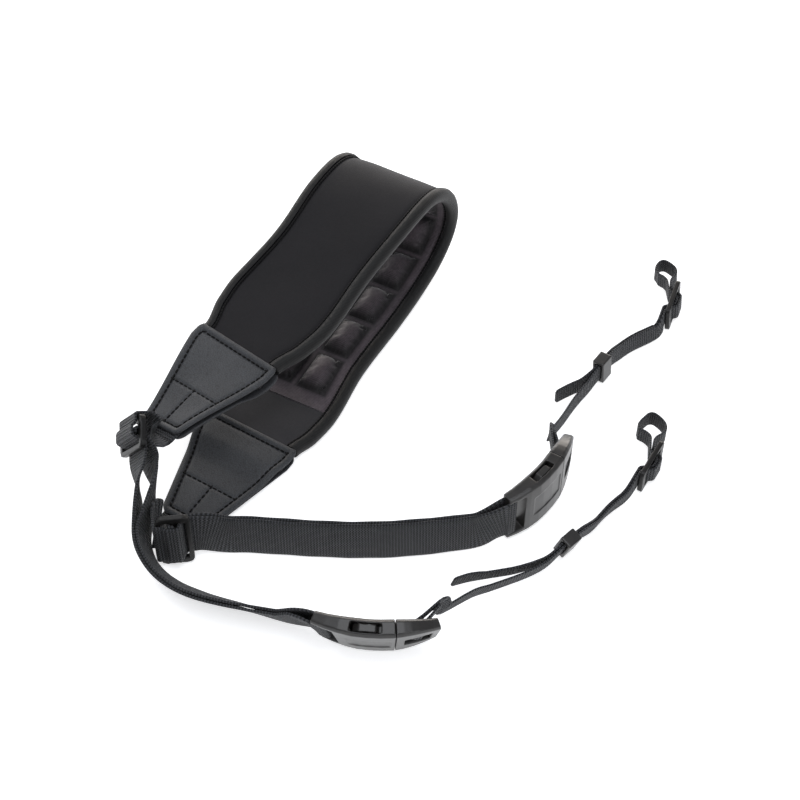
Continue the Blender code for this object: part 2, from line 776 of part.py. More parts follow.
def three_bar(name, line, middle, offset, length, width, thickness, bar, web, corner):
    """A flat frame with a centre bar and cut corners, lying on the line."""
    half = width / 2
    low = offset - thickness / 2
    high = offset + thickness / 2
    near = corner * 0.3
    quarter = [(length / 2 - corner, -half), (length / 2 - near, -half + near),
               (length / 2, -half + corner)]
    ring = quarter + [(s, -w) for s, w in quarter[::-1]]
    ring += [(-s, -w) for s, w in quarter] + [(-s, w) for s, w in quarter[::-1]]
    points = [line.place(middle + s, w, n) for n in (low, high) for s, w in ring]
    count = len(ring)
    faces = [tuple(range(count - 1, -1, -1)), tuple(range(count, 2 * count))]
    for i in range(count):
        k = (i + 1) % count
        faces.append((i, k, count + k, count + i))
    frame = solid(name, points, faces, PLASTIC)
    slot = (length - 3 * bar) / 2
    for order, sign in (("first", -1), ("second", 1)):
        middle_slot = middle + sign * (bar + slot) / 2
        hole = cutter("%s_slot_%s" % (name, order),
                      *block(line, (middle_slot - slot / 2, middle_slot + slot / 2),
                             (-web / 2 - GAP, web / 2 + GAP), (low - MM, high + MM)))
        combine(frame, hole, "DIFFERENCE")
    return frame


# Side-release buckle

def opening_with_bar(name, line, s_range, web_half, bar_range, bar_half):
    """A cutter for a slot right through the buckle that leaves a bar for the webbing."""
    deep = (-BUCKLE_THICKNESS, BUCKLE_THICKNESS)
    opening = cutter(name, *block(line, s_range, (-web_half, web_half), deep, 2))
    kept = cutter(name + "_bar", *block(line, bar_range, (-2 * web_half, 2 * web_half),
                                        (-bar_half, bar_half), 1))
    combine(opening, kept, "DIFFERENCE")
    return opening


def buckle_half_width(share):
    """Half the buckle's width at a share of its length."""
    half = BUCKLE_WIDTH / 2
    joint = SOCKET_LENGTH / BUCKLE_LENGTH
    if share <= joint:
        return half * (0.93 + 0.07 * min(1.0, share / 0.2))
    t = (share - joint) / (1 - joint)
    return half + (PLUG_TIP_WIDTH / 2 - half) * t * t


def buckle_half_thickness(share):
    """Half the buckle's thickness at a share of its length."""
    half = BUCKLE_THICKNESS / 2
    joint = SOCKET_LENGTH / BUCKLE_LENGTH
    if share <= joint:
        return half * (0.70 + 0.30 * min(1.0, share / 0.30))
    t = (share - joint) / (1 - joint)
    return half * (1.0 - 0.38 * t)


def buckle_body(line, start, end, low=0.0, high=1.0, steps=6):
    """Points and faces of the buckle's outer form between two shares of its length."""
    sections = []
    for i in range(steps + 1):
        share = low + (high - low) * i / steps
        s = start + (end - start) * share
        half_w = buckle_half_width(share)
        half_n = buckle_half_thickness(share)
        cut = half_n * 0.35
        sections.append([
            (s, -half_w + cut, -half_n), (s, half_w - cut, -half_n),
            (s, half_w, -half_n + cut), (s, half_w, half_n - cut),
            (s, half_w - cut, half_n), (s, -half_w + cut, half_n),
            (s, -half_w, half_n - cut), (s, -half_w, -half_n + cut),
        ])
    return swept(line, sections)


def socket(line, side, start, end):
    """The buckle's hollow half, with a bar for the wide webbing and a window each side."""
    joint = SOCKET_LENGTH / BUCKLE_LENGTH
    name = "buckle_socket_" + side
    body = solid(name, *buckle_body(line, start, end, 0.0, joint), PLASTIC)
    half_w = BUCKLE_WIDTH / 2
    cavity_w = half_w - BUCKLE_WALL * 1.6
    cavity_n = BUCKLE_THICKNESS / 2 - BUCKLE_WALL
    slot = opening_with_bar(name + "_slot", line, (start - 2 * MM, start + BUCKLE_BAR + BUCKLE_SLOT),
                            WIDE_WEBBING / 2 + GAP, (start, start + BUCKLE_BAR), BUCKLE_BAR_HALF)
    hollow = cutter(name + "_hollow", *block(
        line, (start + WINDOW_START - 3 * MM, start + SOCKET_LENGTH + 2 * MM),
        (-cavity_w, cavity_w), (-cavity_n, cavity_n), 4))
    window = cutter(name + "_window", *block(
        line, (start + WINDOW_START, start + WINDOW_START + WINDOW_LENGTH),
        (-half_w - 2 * MM, half_w + 2 * MM), (-cavity_n + 0.4 * MM, cavity_n - 0.4 * MM), 3))
    recess = cutter(name + "_recess", *block(
        line, (start + WINDOW_START - 2 * MM, start + WINDOW_START + WINDOW_LENGTH + 4 * MM),
        (-half_w * 0.42, half_w * 0.42),
        (BUCKLE_THICKNESS / 2 - 0.5 * MM, BUCKLE_THICKNESS), 3))
    for tool in (slot, hollow, window, recess):
        combine(body, tool, "DIFFERENCE")
    return body


def plug(line, side, start, end):
    """The buckle's other half: a base with two sprung arms inside the socket."""
    joint = SOCKET_LENGTH / BUCKLE_LENGTH
    name = "buckle_plug_" + side
    face = GAP / BUCKLE_LENGTH
    body = solid(name, *buckle_body(line, start, end, joint + face, 1.0),
                 PLASTIC)
    cavity_w = BUCKLE_WIDTH / 2 - BUCKLE_WALL * 1.6
    cavity_n = BUCKLE_THICKNESS / 2 - BUCKLE_WALL
    arm_n = cavity_n - 0.8 * MM
    base = start + SOCKET_LENGTH
    tip = start + WINDOW_START + 1.2 * MM
    tab_end = start + WINDOW_START + WINDOW_LENGTH - 1.5 * MM
    inner = cavity_w - 1.0 * MM - ARM_WIDTH
    for sign in (-1, 1):
        sections = []
        for s, low, high in (
                (tip, inner - 1.0 * MM, cavity_w - 0.6 * MM),
                (tip + 3 * MM, inner - 0.5 * MM, BUCKLE_WIDTH / 2 - 0.6 * MM),
                (tab_end - 1 * MM, inner, BUCKLE_WIDTH / 2 - 0.6 * MM),
                (tab_end, inner, cavity_w - 0.8 * MM),
                (base + 2 * MM, inner, cavity_w - 0.8 * MM)):
            ring = [(s, low, -arm_n), (s, high, -arm_n), (s, high, arm_n), (s, low, arm_n)]
            ring = [(s, sign * w, n) for s, w, n in ring]
            sections.append(ring if sign > 0 else ring[::-1])
        arm = cutter("%s_arm_%s" % (name, "left" if sign > 0 else "right"),
                     *swept(line, sections))
        combine(body, arm, "UNION")
    tongue = cutter(name + "_tongue", *block(
        line, (base - PLUG_TONGUE[1], base + 2 * MM),
        (-PLUG_TONGUE[0] / 2, PLUG_TONGUE[0] / 2), (-arm_n, arm_n), 2))
    combine(body, tongue, "UNION")
    bar = end - PLUG_BAR_FROM_END
    half = PLUG_BAR / 2 + PLUG_SLOT
    slot = opening_with_bar(name + "_slot", line, (bar - half, bar + half),
                            NARROW_WEBBING / 2 + 2 * GAP,
                            (bar - PLUG_BAR / 2, bar + PLUG_BAR / 2), PLUG_BAR_HALF)
    combine(body, slot, "DIFFERENCE")
    return body


# Webbing

def wide_path(side, buckle_start):
    """Path in s and n of the wide webbing from the slider's first bar onwards."""
    low = -WIDE_LAYER
    bulge = WIDE_BULGE[side]
    middle = SLIDER_LENGTH / 2
    edge = SLIDER_BAR / 2
    slot = (SLIDER_LENGTH - 3 * SLIDER_BAR) / 2
    clear = WIDE_THICKNESS / 2 + GAP
    over_bar = SLIDER_THICKNESS + 2 * clear
    over_loop = over_bar + WIDE_LAYER
    bend = 2.0 * MM
    tight = 1.0 * MM
    bar = buckle_start + BUCKLE_BAR / 2
    wrap = BUCKLE_BAR_HALF + clear
    beside = BUCKLE_BAR / 2 + clear
    return [
        (-clear - 0.6 * MM, -LEAD_BEHIND[side], 0),
        (-clear, over_bar, tight),
        (middle - edge - slot + 0.2 * slot, over_bar, tight),
        (middle - edge - clear - 0.2 * slot, over_loop, bend),
        (middle + edge + 0.15 * slot, over_loop, bend),
        (middle + edge + 0.80 * slot, 0.0, bend),
        (SLIDER_LENGTH + PAST_SLIDER, 0.0, bend),
        (bar - WRAP_RISE, 0.0, 4 * bend),
        (bar - beside, wrap, tight),
        (bar + beside, wrap, tight),
        (bar + beside, -wrap, tight),
        (bar - beside, -wrap, tight),
        (bar - WRAP_FALL, low, 4 * bend),
        (SLIDER_LENGTH + BULGE_END, low, 8 * bend),
        (SLIDER_LENGTH + BULGE_AT, low - bulge, 8 * bend),
        (SLIDER_LENGTH, low - 0.5 * bulge, 4 * bend),
        (middle + edge + 0.4 * slot, low, bend),
        (middle + edge, 0.0, bend),
        (middle - edge - clear, 0.0, tight),
        (middle - edge - clear, over_bar, tight),
        (middle + edge, over_bar, 0),
    ]


def wide_webbing(pad, line, side, buckle_start):
    """The wide webbing, from inside the patch to the slider, the buckle and back."""
    sign = -1 if side == "b" else 1
    base = PAD_START if side == "b" else PAD_END
    level = web_level()
    start = base + sign * (PATCH_OVERLAP + 2 * MM)
    tip = base + sign * (PATCH_LENGTH[side] + PAST_PATCH)
    sections = []
    for share in evenly(0, 1, 0.12):
        spot = start + (tip - start) * share
        sections.append((pad.place(spot, 0, level), pad.at(spot)[2] * sign))
    path = rounded(wide_path(side, buckle_start))
    body = along_line(line, path, RUN_STEP)
    pad_along = pad.at(tip)[1] * sign
    lead = lead_in(sections[-1][0], pad_along, sections[-1][1],
                   body[0][0], line.at(path[0][0])[3], body[0][1])
    first_across = body[0][1]
    if np.dot(sections[-1][1], first_across) < 0:
        sections = [(point, -across) for point, across in sections]
    points, faces = ribbon(sections + lead + body, WIDE_WEBBING, WIDE_THICKNESS)
    return solid("webbing_wide_" + side, points, faces, CLOTH)


def side_line(pad, side):
    """The line of one side from its slider to its buckle's plug end."""
    sign = -1 if side == "b" else 1
    tip = (PAD_START if side == "b" else PAD_END) + sign * PATCH_LENGTH[side]
    point, along, _, _ = pad.at(tip)
    place = SLIDER_PLACE[side]
    flat = np.array([along[0], along[1], 0.0]) * sign
    flat /= np.linalg.norm(flat)
    left = np.array([-flat[1], flat[0], 0.0])
    corner = point + flat * place["out"] + left * place["left"]
    corner = corner + np.array([0.0, 0.0, place["up"]])
    if side == "b":
        corner[2] = STRAP_LIFT + on_edge(SLIDER_WIDTH, SLIDER_THICKNESS, place["lean"])
    line = Line(corner)
    reach = SLIDER_LENGTH + PAST_SLIDER
    line.straight(reach, place["heading"], place["pitch"], place["lean"])
    stack = 2 * WIDE_THICKNESS + LAYER_GAP

    def rest(share, lean):
        if share >= 1.0:
            return STRAP_LIFT + on_edge(BUCKLE_WIDTH, BUCKLE_THICKNESS, lean)
        return STRAP_LIFT + on_edge(WIDE_WEBBING, stack, lean)

    line.run(WIDE_RUN_LENGTH[side], WIDE_RUN[side], rest)
    start = line.lengths[-1]
    line.arc(BUCKLE_LENGTH, BUCKLE_BEND)
    return line.close(), start


def angles_of(along, across):
    """Heading, pitch and lean in degrees of a frame."""
    heading = math.atan2(along[1], along[0])
    pitch = math.asin(max(-1.0, min(1.0, along[2])))
    left = np.array([-math.sin(heading), math.cos(heading), 0.0])
    lean = math.atan2(float(np.dot(across, left)), float(np.dot(across, np.cross(along, left))))
    return [math.degrees(angle) for angle in (heading, pitch, lean)]


def narrow_line(line, side, buckle_end):
    """The line of the narrow webbing from the plug's bar to the end of the camera loop."""
    bar = buckle_end - PLUG_BAR_FROM_END
    point, along, across, out = line.at(bar)
    turn = math.radians(NARROW_TURN[side])
    start = point - out * (PLUG_BAR_HALF + NARROW_THICKNESS / 2 + GAP + PLUG_DROP)
    leaving = along * math.cos(turn) - out * math.sin(turn)
    narrow = Line(start)
    narrow.straight(SEWN_FOLD, *angles_of(leaving, across))
    stack = 2 * NARROW_THICKNESS + LAYER_GAP
    keeper_height = KEEPER_HOLE + 2 * KEEPER_WALL

    def to_keeper(share, lean):
        if share >= 1.0:
            return STRAP_LIFT + on_edge(KEEPER_WIDTH, keeper_height, lean)
        return STRAP_LIFT + on_edge(NARROW_WEBBING, stack, lean)

    def to_slider(share, lean):
        if share >= 1.0:
            return STRAP_LIFT + on_edge(LOOP_SLIDER_WIDTH, LOOP_SLIDER_THICKNESS + 2 * stack, lean)
        return STRAP_LIFT + on_edge(NARROW_WEBBING, stack, lean)

    narrow.run(FIRST_RUN_LENGTH[side] - SEWN_FOLD, FIRST_RUN[side], to_keeper)
    keeper_start = narrow.end() + MM
    narrow.straight(KEEPER_LENGTH + 2 * MM)
    narrow.run(SECOND_RUN_LENGTH[side], SECOND_RUN[side], to_slider)
    slider_start = narrow.end() + MM
    narrow.straight(LOOP_SLIDER_LENGTH + 2 * MM)
    narrow.arc(LOOP_LENGTH, LOOP_TURN[side])
    return narrow.close(), keeper_start, slider_start


def fold_corners(side):
    """The narrow webbing round the plug's bar, as corners in s and n of the narrow line."""
    turn = math.radians(NARROW_TURN[side])
    clear = NARROW_THICKNESS / 2 + GAP
    reach = PLUG_BAR / 2 + clear
    level = PLUG_BAR_HALF + clear
    bend = 1.2 * MM
    corners = []
    for s, n in ((reach, -level), (reach, level), (-reach, level), (-reach, -level - PLUG_DROP * 0.6)):
        raised = n + level + PLUG_DROP
        corners.append((s * math.cos(turn) - raised * math.sin(turn),
                        s * math.sin(turn) + raised * math.cos(turn), bend))
    return corners


def narrow_path(side, keeper_start, slider_start):
    """Path in s and n of the narrow webbing, from its sewn fold to its free end."""
    clear = NARROW_THICKNESS / 2 + GAP
    slot = (LOOP_SLIDER_LENGTH - 3 * LOOP_SLIDER_BAR) / 2
    edge = LOOP_SLIDER_BAR / 2
    middle = slider_start + LOOP_SLIDER_LENGTH / 2
    over = LOOP_SLIDER_THICKNESS + 2 * clear
    high = over + NARROW_LAYER
    bend = 2 * MM
    low = -NARROW_LAYER
    past = slider_start + LOOP_SLIDER_LENGTH + 2 * MM
    far = slider_start + LOOP_SLIDER_LENGTH + LOOP_LENGTH
    width = LOOP_WIDTH[side]
    offset = LOOP_OFFSET
    tail = TAIL_LENGTH[side]
    spread = TAIL_SPREAD[side]
    return [
        (SEWN_FOLD, NARROW_LAYER, 0),
        *fold_corners(side),
        (PLUG_BAR + 2 * clear, 0.0, 4 * MM),
        (middle - edge - 0.92 * slot, 0.0, bend),
        (middle - edge - 0.30 * slot, high, bend),
        (middle + edge + 0.30 * slot, high, bend),
        (middle + edge + 0.92 * slot, 0.0, bend),
        (past, -offset, 4 * bend),
        (past + 0.35 * LOOP_LENGTH, width * 0.5 - offset, 4 * bend),
        (far, width * 0.3 - offset, 2 * bend),
        (far, -width * 0.5 - offset, 2 * bend),
        (past + 0.35 * LOOP_LENGTH, -width * 0.6 - offset, 4 * bend),
        (past, low - offset, 4 * bend),
        (middle + edge + 0.66 * slot, low, bend),
        (middle + edge + 0.08 * slot, over, bend),
        (middle - edge - 0.08 * slot, over, bend),
        (middle - edge - 0.66 * slot, low, bend),
        (keeper_start + KEEPER_LENGTH, low, bend),
        (keeper_start - 0.1 * tail, low, 8 * bend),
        (keeper_start - 0.5 * tail, low - 0.35 * spread, 8 * bend),
        (keeper_start - tail, low - spread, 0),
    ]


def narrow_webbing(line, side, keeper_start, slider_start):
    """The narrow webbing, from the plug through keeper and slider, round the loop and back."""
    path = rounded(narrow_path(side, keeper_start, slider_start), 3)
    sections = along_line(line, path, RUN_STEP)
    points, faces = ribbon(sections, NARROW_WEBBING, NARROW_THICKNESS)
    return solid("webbing_narrow_" + side, points, faces, CLOTH)


def keeper(line, side, start):
    """A short rectangular tube round both layers of the narrow webbing."""
    offset = -NARROW_LAYER / 2
    half_w = KEEPER_WIDTH / 2
    half_n = KEEPER_HOLE / 2 + KEEPER_WALL
    name = "keeper_" + side
    body = solid(name, *block(line, (start, start + KEEPER_LENGTH), (-half_w, half_w),
                              (offset - half_n, offset + half_n)), PLASTIC)
    hole = cutter(name + "_hole", *block(
        line, (start - MM, start + KEEPER_LENGTH + MM),
        (-half_w + KEEPER_WALL, half_w - KEEPER_WALL),
        (offset - KEEPER_HOLE / 2, offset + KEEPER_HOLE / 2)))
    combine(body, hole, "DIFFERENCE")
    edge = body.modifiers.new("edges", "BEVEL")
    edge.width = 0.4 * MM
    edge.segments = 1
    return body


# Assembly

def build_side(pad, side):
    """One side of the strap, from the slider to the camera loop."""
    line, start = side_line(pad, side)
    end = start + BUCKLE_LENGTH
    clear = WIDE_THICKNESS / 2 + GAP
    three_bar("slider_" + side, line, SLIDER_LENGTH / 2, clear + SLIDER_THICKNESS / 2,
              SLIDER_LENGTH, SLIDER_WIDTH, SLIDER_THICKNESS, SLIDER_BAR, WIDE_WEBBING,
              SLIDER_CORNER)
    wide_webbing(pad, line, side, start)
    socket(line, side, start, end)
    plug(line, side, start, end)
    narrow, keeper_start, slider_start = narrow_line(line, side, end)
    narrow_webbing(narrow, side, keeper_start, slider_start)
    keeper(narrow, side, keeper_start)
    clear = NARROW_THICKNESS / 2 + GAP
    three_bar("loop_slider_" + side, narrow, slider_start + LOOP_SLIDER_LENGTH / 2,
              clear + LOOP_SLIDER_THICKNESS / 2, LOOP_SLIDER_LENGTH, LOOP_SLIDER_WIDTH,
              LOOP_SLIDER_THICKNESS, LOOP_SLIDER_BAR, NARROW_WEBBING, LOOP_SLIDER_CORNER)


def centre_on_table():
    """Put the middle of the strap's outline over the origin, with its lowest point at z = 0."""
    solids = [item for item in bpy.data.objects if not item.hide_render]
    corners = np.array([vertex.co for item in solids for vertex in item.data.vertices])
    low = corners.min(axis=0)
    high = corners.max(axis=0)
    anchor = bpy.data.objects.new("strap", None)
    anchor.location = (-(low[0] + high[0]) / 2, -(low[1] + high[1]) / 2, -low[2])
    bpy.context.scene.collection.objects.link(anchor)
    for item in bpy.data.objects:
        if item.type == "MESH":
            item.parent = anchor


def build():
    for item in list(bpy.data.objects):
        bpy.data.objects.remove(item, do_unlink=True)
    pad = pad_line()
    pad_shell(pad)
    air_cell_panel(pad)
    binding(pad, "left")
    binding(pad, "right")
    for side in "ab":
        end_panel(pad, side)
        for face in ("outer", "inner"):
            patch(pad, side, face)
        build_side(pad, side)
    centre_on_table()


build()
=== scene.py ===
# %% [markdown]
# # A padded camera neck strap
#
# The strap lies folded over on a table. Its pad is black stretch cloth over foam, with a
# column of air cells on the inner face, tape bound round the edges and leather at both ends.
# From each end a wide webbing runs through a slider to a side-release buckle, and a narrow
# webbing goes on through a keeper and a small slider to the loop that holds the camera.
#
# The CAD part gives every place and size. This lesson dresses it: the soft pieces are
# modelled again from the same lines, and each surface gets a material of its own.

# %% Load the frame
import math

import bpy
import numpy as np
from mathutils import Matrix, Vector


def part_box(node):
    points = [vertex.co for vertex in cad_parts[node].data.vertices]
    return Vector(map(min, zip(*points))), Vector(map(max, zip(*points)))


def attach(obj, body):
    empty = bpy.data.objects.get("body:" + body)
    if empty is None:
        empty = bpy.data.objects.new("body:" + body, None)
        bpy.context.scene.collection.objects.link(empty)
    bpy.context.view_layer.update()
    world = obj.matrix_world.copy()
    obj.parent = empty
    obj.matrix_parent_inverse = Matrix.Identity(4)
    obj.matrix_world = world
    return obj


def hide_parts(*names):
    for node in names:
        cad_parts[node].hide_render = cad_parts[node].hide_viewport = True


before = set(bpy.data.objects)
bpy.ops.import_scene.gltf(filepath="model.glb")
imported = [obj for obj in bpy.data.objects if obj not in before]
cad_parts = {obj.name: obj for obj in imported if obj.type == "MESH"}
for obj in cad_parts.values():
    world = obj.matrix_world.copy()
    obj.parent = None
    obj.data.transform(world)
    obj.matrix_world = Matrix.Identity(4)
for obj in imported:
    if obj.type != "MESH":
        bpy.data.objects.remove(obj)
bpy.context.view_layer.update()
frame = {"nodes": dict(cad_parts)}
MM = 0.001

# %% [markdown]
# ## Sizes
#
# These are the sizes of the real strap. They repeat the CAD part's own, so that a piece made
# here lies where its solid does.

# %% Sizes of the strap

GAP = 0.3 * MM                      # between pieces that touch

# Pad
PAD_LENGTH = 363 * MM               # along the middle, between the patches' straight edges
PAD_WIDTH = 65 * MM
SHELL_THICKNESS = 3.6 * MM
PANEL_THICKNESS = 1.2 * MM          # inner skin between the cells
BINDING_WIDTH = 6 * MM
BINDING_THICKNESS = 1.3 * MM
CELL_HEIGHT = 4.5 * MM
CELL_PITCH = 29 * MM
CELL_GAP = 4.5 * MM
CELL_BORDER = 9 * MM                # plain strip between the cells and the pad's edge
END_PANEL_LENGTH = 27.5 * MM
CELL_END_MARGIN = 8.5 * MM          # plain strip between the end panels and the first cells

# Leather patches
PATCH_LENGTH = {"a": 61 * MM, "b": 66 * MM}
PATCH_WIDTH = 53 * MM
PATCH_SPREAD = {"a": 0.0, "b": 6 * MM}          # more width on the left of the straight edge
PATCH_TUCK = 1.6 * MM               # the leather under the lying end is drawn in by this
PATCH_TIP_WIDTH = 27 * MM
PATCH_CORNER = 4 * MM               # cut off each corner
LEATHER_THICKNESS = 1.3 * MM
PATCH_OVERLAP = 13 * MM             # how far the pad reaches in under the leather
PATCH_ROOM = 0.2 * MM               # more than the gap, each side of the webbing in the patch
PAST_PATCH = 3 * MM                 # the webbing runs on straight past the patch
PAST_PAD = 1.5 * MM                 # the inner leather stays level this far past the pad's end

# Webbing
WIDE_WEBBING = 25 * MM
WIDE_THICKNESS = 1.4 * MM
NARROW_WEBBING = 10 * MM
NARROW_THICKNESS = 1.1 * MM
LAYER_GAP = 0.5 * MM                # between two layers of one strap
STRAP_LIFT = 0.5 * MM               # the straps' edges above the table the pad lies on

# Three-bar slider on the wide webbing
SLIDER_LENGTH = 17 * MM
SLIDER_MARGIN = 3.8 * MM            # frame beside the webbing, each side
SLIDER_THICKNESS = 3 * MM
SLIDER_BAR = 2.6 * MM
SLIDER_CORNER = 3 * MM
PAST_SLIDER = 2 * MM                # straight webbing on past a slider

# Side-release buckle
SOCKET_LENGTH = 37 * MM
PLUG_LENGTH = 20.5 * MM               # outside the socket
BUCKLE_MARGIN = 4.5 * MM            # plastic beside the wide webbing, each side
BUCKLE_THICKNESS = 9 * MM
BUCKLE_WALL = 1.7 * MM
BUCKLE_BEND = 44.0                  # degrees over the fastened buckle
BUCKLE_BAR = 3.5 * MM
BUCKLE_BAR_HALF = 1.5 * MM          # half the bar's thickness
BUCKLE_SLOT = 6 * MM
WINDOW_LENGTH = 14 * MM
WINDOW_START = 17 * MM              # from the socket's webbing end
ARM_WIDTH = 3.2 * MM
PLUG_TIP_WIDTH = 19 * MM
PLUG_SLOT = 4.5 * MM
PLUG_BAR = 3.5 * MM
PLUG_BAR_HALF = 1.3 * MM            # half the bar's thickness
PLUG_BAR_FROM_END = 10 * MM
PLUG_DROP = 2.2 * MM                # the webbing leaves this far behind the plug's bar

# Keeper and three-bar slider on the narrow webbing
KEEPER_LENGTH = 9 * MM
KEEPER_WALL = 1.8 * MM
LOOP_SLIDER_LENGTH = 26 * MM
LOOP_SLIDER_MARGIN = 2.8 * MM
LOOP_SLIDER_THICKNESS = 2.6 * MM
LOOP_SLIDER_BAR = 4 * MM
LOOP_SLIDER_CORNER = 2 * MM
LOOP_LENGTH = 22 * MM               # the loop for the camera, past the slider
LOOP_WIDTH = {"a": 14 * MM, "b": 10 * MM}
LOOP_OFFSET = 3.5 * MM              # the loop leaves to the back of its slider
SEWN_FOLD = 15 * MM                 # doubled webbing sewn down at the plug

# The pad's line: share of PAD_LENGTH, heading on the table, pitch up from it, roll
PAD_LINE = [
    # share, heading, pitch, lean
    (0.00, 58, 0, 90),
    (0.057, 62, 0, 90),
    (0.29, 63, 0, 90),
    (0.392, 63, 9, 90),
    (0.453, 63, 38, 90),
    (0.5235, 62.5, 98, 90),
    (0.5945, 61, 138, 90),
    (0.6755, 59, 181, 90),
    (0.777, 56, 193, 90),
    (0.8885, 53, 191, 90),
    (1.00, 51, 189, 90),
]
PATCH_A_LEAN = 74.0                 # at the tip of patch A, which rolls towards its slider

# The pad's outline: share of PAD_LENGTH, share of PAD_WIDTH on each side of the middle
PAD_OUTLINE = [
    # share, left, right
    (0.000, 0.47, 0.39),
    (0.032, 0.495, 0.445),
    (0.078, 0.505, 0.475),
    (0.179, 0.465, 0.435),
    (0.290, 0.49, 0.46),
    (0.422, 0.50, 0.475),
    (0.534, 0.53, 0.50),
    (0.696, 0.53, 0.49),
    (0.807, 0.495, 0.465),
    (0.909, 0.515, 0.505),
    (0.954, 0.48, 0.475),
    (1.000, 0.40, 0.40),
]

# Where the outer corner of each slider lies from the tip of its patch: out of the tip,
# to its left and up, then the slider's heading, pitch and lean
SLIDER_PLACE = {
    "a": dict(out=5.1 * MM, left=-10.8 * MM, up=5 * MM, heading=-87.0, pitch=-27.0, lean=26.0),
    "b": dict(out=20.8 * MM, left=2.2 * MM, up=0.0, heading=7.0, pitch=0.0, lean=6.0),
}

# How far behind its slider the webbing has finished its twist
LEAD_BEHIND = {"a": 2 * MM, "b": 7 * MM}

# Wide webbing from slider to buckle: share of the run, heading, lean, lift above the table
WIDE_RUN = {
    "a": [
        # share, heading, lean, lift
        (0.12, -87, 2, 12 * MM),
        (0.26, -82, -10, 4 * MM),
        (0.36, -58, -20, 1 * MM),
        (0.47, -36, -30, 0.0),
        (0.57, -23, -34, 0.0),
        (0.68, -16, -33, 0.0),
        (0.86, -16, -26, 0.0),
        (1.00, -24, -21, 0.0),
    ],
    "b": [
        # share, heading, lean, lift
        (0.12, 0, 5, 0.0),
        (0.24, -5, 5, 0.0),
        (0.45, -2, 5, 0.0),
        (0.70, 6, 5, 0.0),
        (0.88, 11, 3, 0.0),
        (1.00, 31, 0, 0.0),
    ],
}
WIDE_RUN_LENGTH = {"a": 151 * MM, "b": 156 * MM}
WIDE_BULGE = {"a": 7 * MM, "b": 0.0}           # the return layer stands off behind the slider
BULGE_AT = 14 * MM                             # past the slider, where it stands off most
BULGE_END = 42 * MM                            # past the slider, where the layers meet again
WRAP_RISE = 12 * MM                            # the webbing rises to the buckle's bar over this
WRAP_FALL = 14 * MM                            # and comes back to its layer over this

# Narrow webbing from the plug to the keeper, then from the keeper to the loop slider
NARROW_TURN = {"a": 30.0, "b": 26.0}           # the webbing leaves the plug at this angle
FIRST_RUN = {
    "a": [
        # share, heading, lean, lift
        (0.14, 38, -16, 4 * MM),
        (0.34, 35, -14, 2 * MM),
        (0.48, 22, -15, 0.0),
        (0.62, 23, -15, 0.0),
        (0.84, 33, -14, 0.0),
        (1.00, 44, -14, 0.0),
    ],
    "b": [
        # share, heading, lean, lift
        (0.20, 60, -4, 4 * MM),
        (0.50, 60, 1, 0.3 * MM),
        (0.80, 52, 3, 0.3 * MM),
        (1.00, 54, 5, 0.0),
    ],
}
FIRST_RUN_LENGTH = {"a": 95 * MM, "b": 78 * MM}
SECOND_RUN = {
    "a": [
        # share, heading, lean, lift
        (0.40, 52, -14, 0.0),
        (0.75, 40, -8, 0.0),
        (1.00, 60, 0, 0.0),
    ],
    "b": [
        # share, heading, lean, lift
        (0.30, 43, 9, 0.0),
        (0.65, 30, 12, 0.0),
        (0.82, 34, 10, 0.0),
        (1.00, 70, 5, 0.0),
    ],
}
SECOND_RUN_LENGTH = {"a": 51 * MM, "b": 45 * MM}
LOOP_TURN = {"a": 80.0, "b": 78.0}             # the camera loop curls to the left

# Free end of the narrow webbing past the keeper: length, and its distance out at the end
TAIL_LENGTH = {"a": 58 * MM, "b": 26 * MM}
TAIL_SPREAD = {"a": 8 * MM, "b": 9 * MM}

# Derived sizes
SHELL_HALF = SHELL_THICKNESS / 2
PANEL_BOTTOM = SHELL_HALF + GAP
PANEL_TOP = PANEL_BOTTOM + PANEL_THICKNESS
TABLE_TO_LINE = SHELL_HALF + GAP + max(BINDING_THICKNESS, LEATHER_THICKNESS)
SLIDER_WIDTH = WIDE_WEBBING + 2 * SLIDER_MARGIN
BUCKLE_WIDTH = WIDE_WEBBING + 2 * BUCKLE_MARGIN
BUCKLE_LENGTH = SOCKET_LENGTH + PLUG_LENGTH
LOOP_SLIDER_WIDTH = NARROW_WEBBING + 2 * LOOP_SLIDER_MARGIN
KEEPER_WIDTH = NARROW_WEBBING + 2 * (GAP + KEEPER_WALL)
KEEPER_HOLE = 2 * NARROW_THICKNESS + LAYER_GAP + 2 * GAP
WIDE_LAYER = WIDE_THICKNESS + LAYER_GAP
NARROW_LAYER = NARROW_THICKNESS + LAYER_GAP
ARC_STEPS = 8
PAD_STEP = 6 * MM
CELL_SHARES = (0, 0.12, 0.5, 0.88, 1)

# %% [markdown]
# ## The camera first
#
# The photograph looks down on the table at 50 degrees. The camera is fitted to it: 0.9 m from
# the point on the table that lies in the middle of the picture, with a 75 mm lens.

# %% The camera
CAMERA_HEIGHT_ANGLE = math.radians(50)
CAMERA_DISTANCE = 0.9
LENS = 74.93
PHOTO_MIDDLE = (110.3 * MM, 83.7 * MM)     # from the tip of patch B, on the table


def aim(item, place, target):
    """Put a camera or a light somewhere, looking at a target."""
    item.location = place
    item.rotation_euler = (Vector(target) - Vector(place)).to_track_quat("-Z", "Y").to_euler()


# %% [markdown]
# ## Lines that the straps follow
#
# A strap is easiest to make along a line that knows three directions at each point: along it,
# across it and out of its face. The line is traced from a short table of headings, so a
# bend in the table is a bend in the webbing.

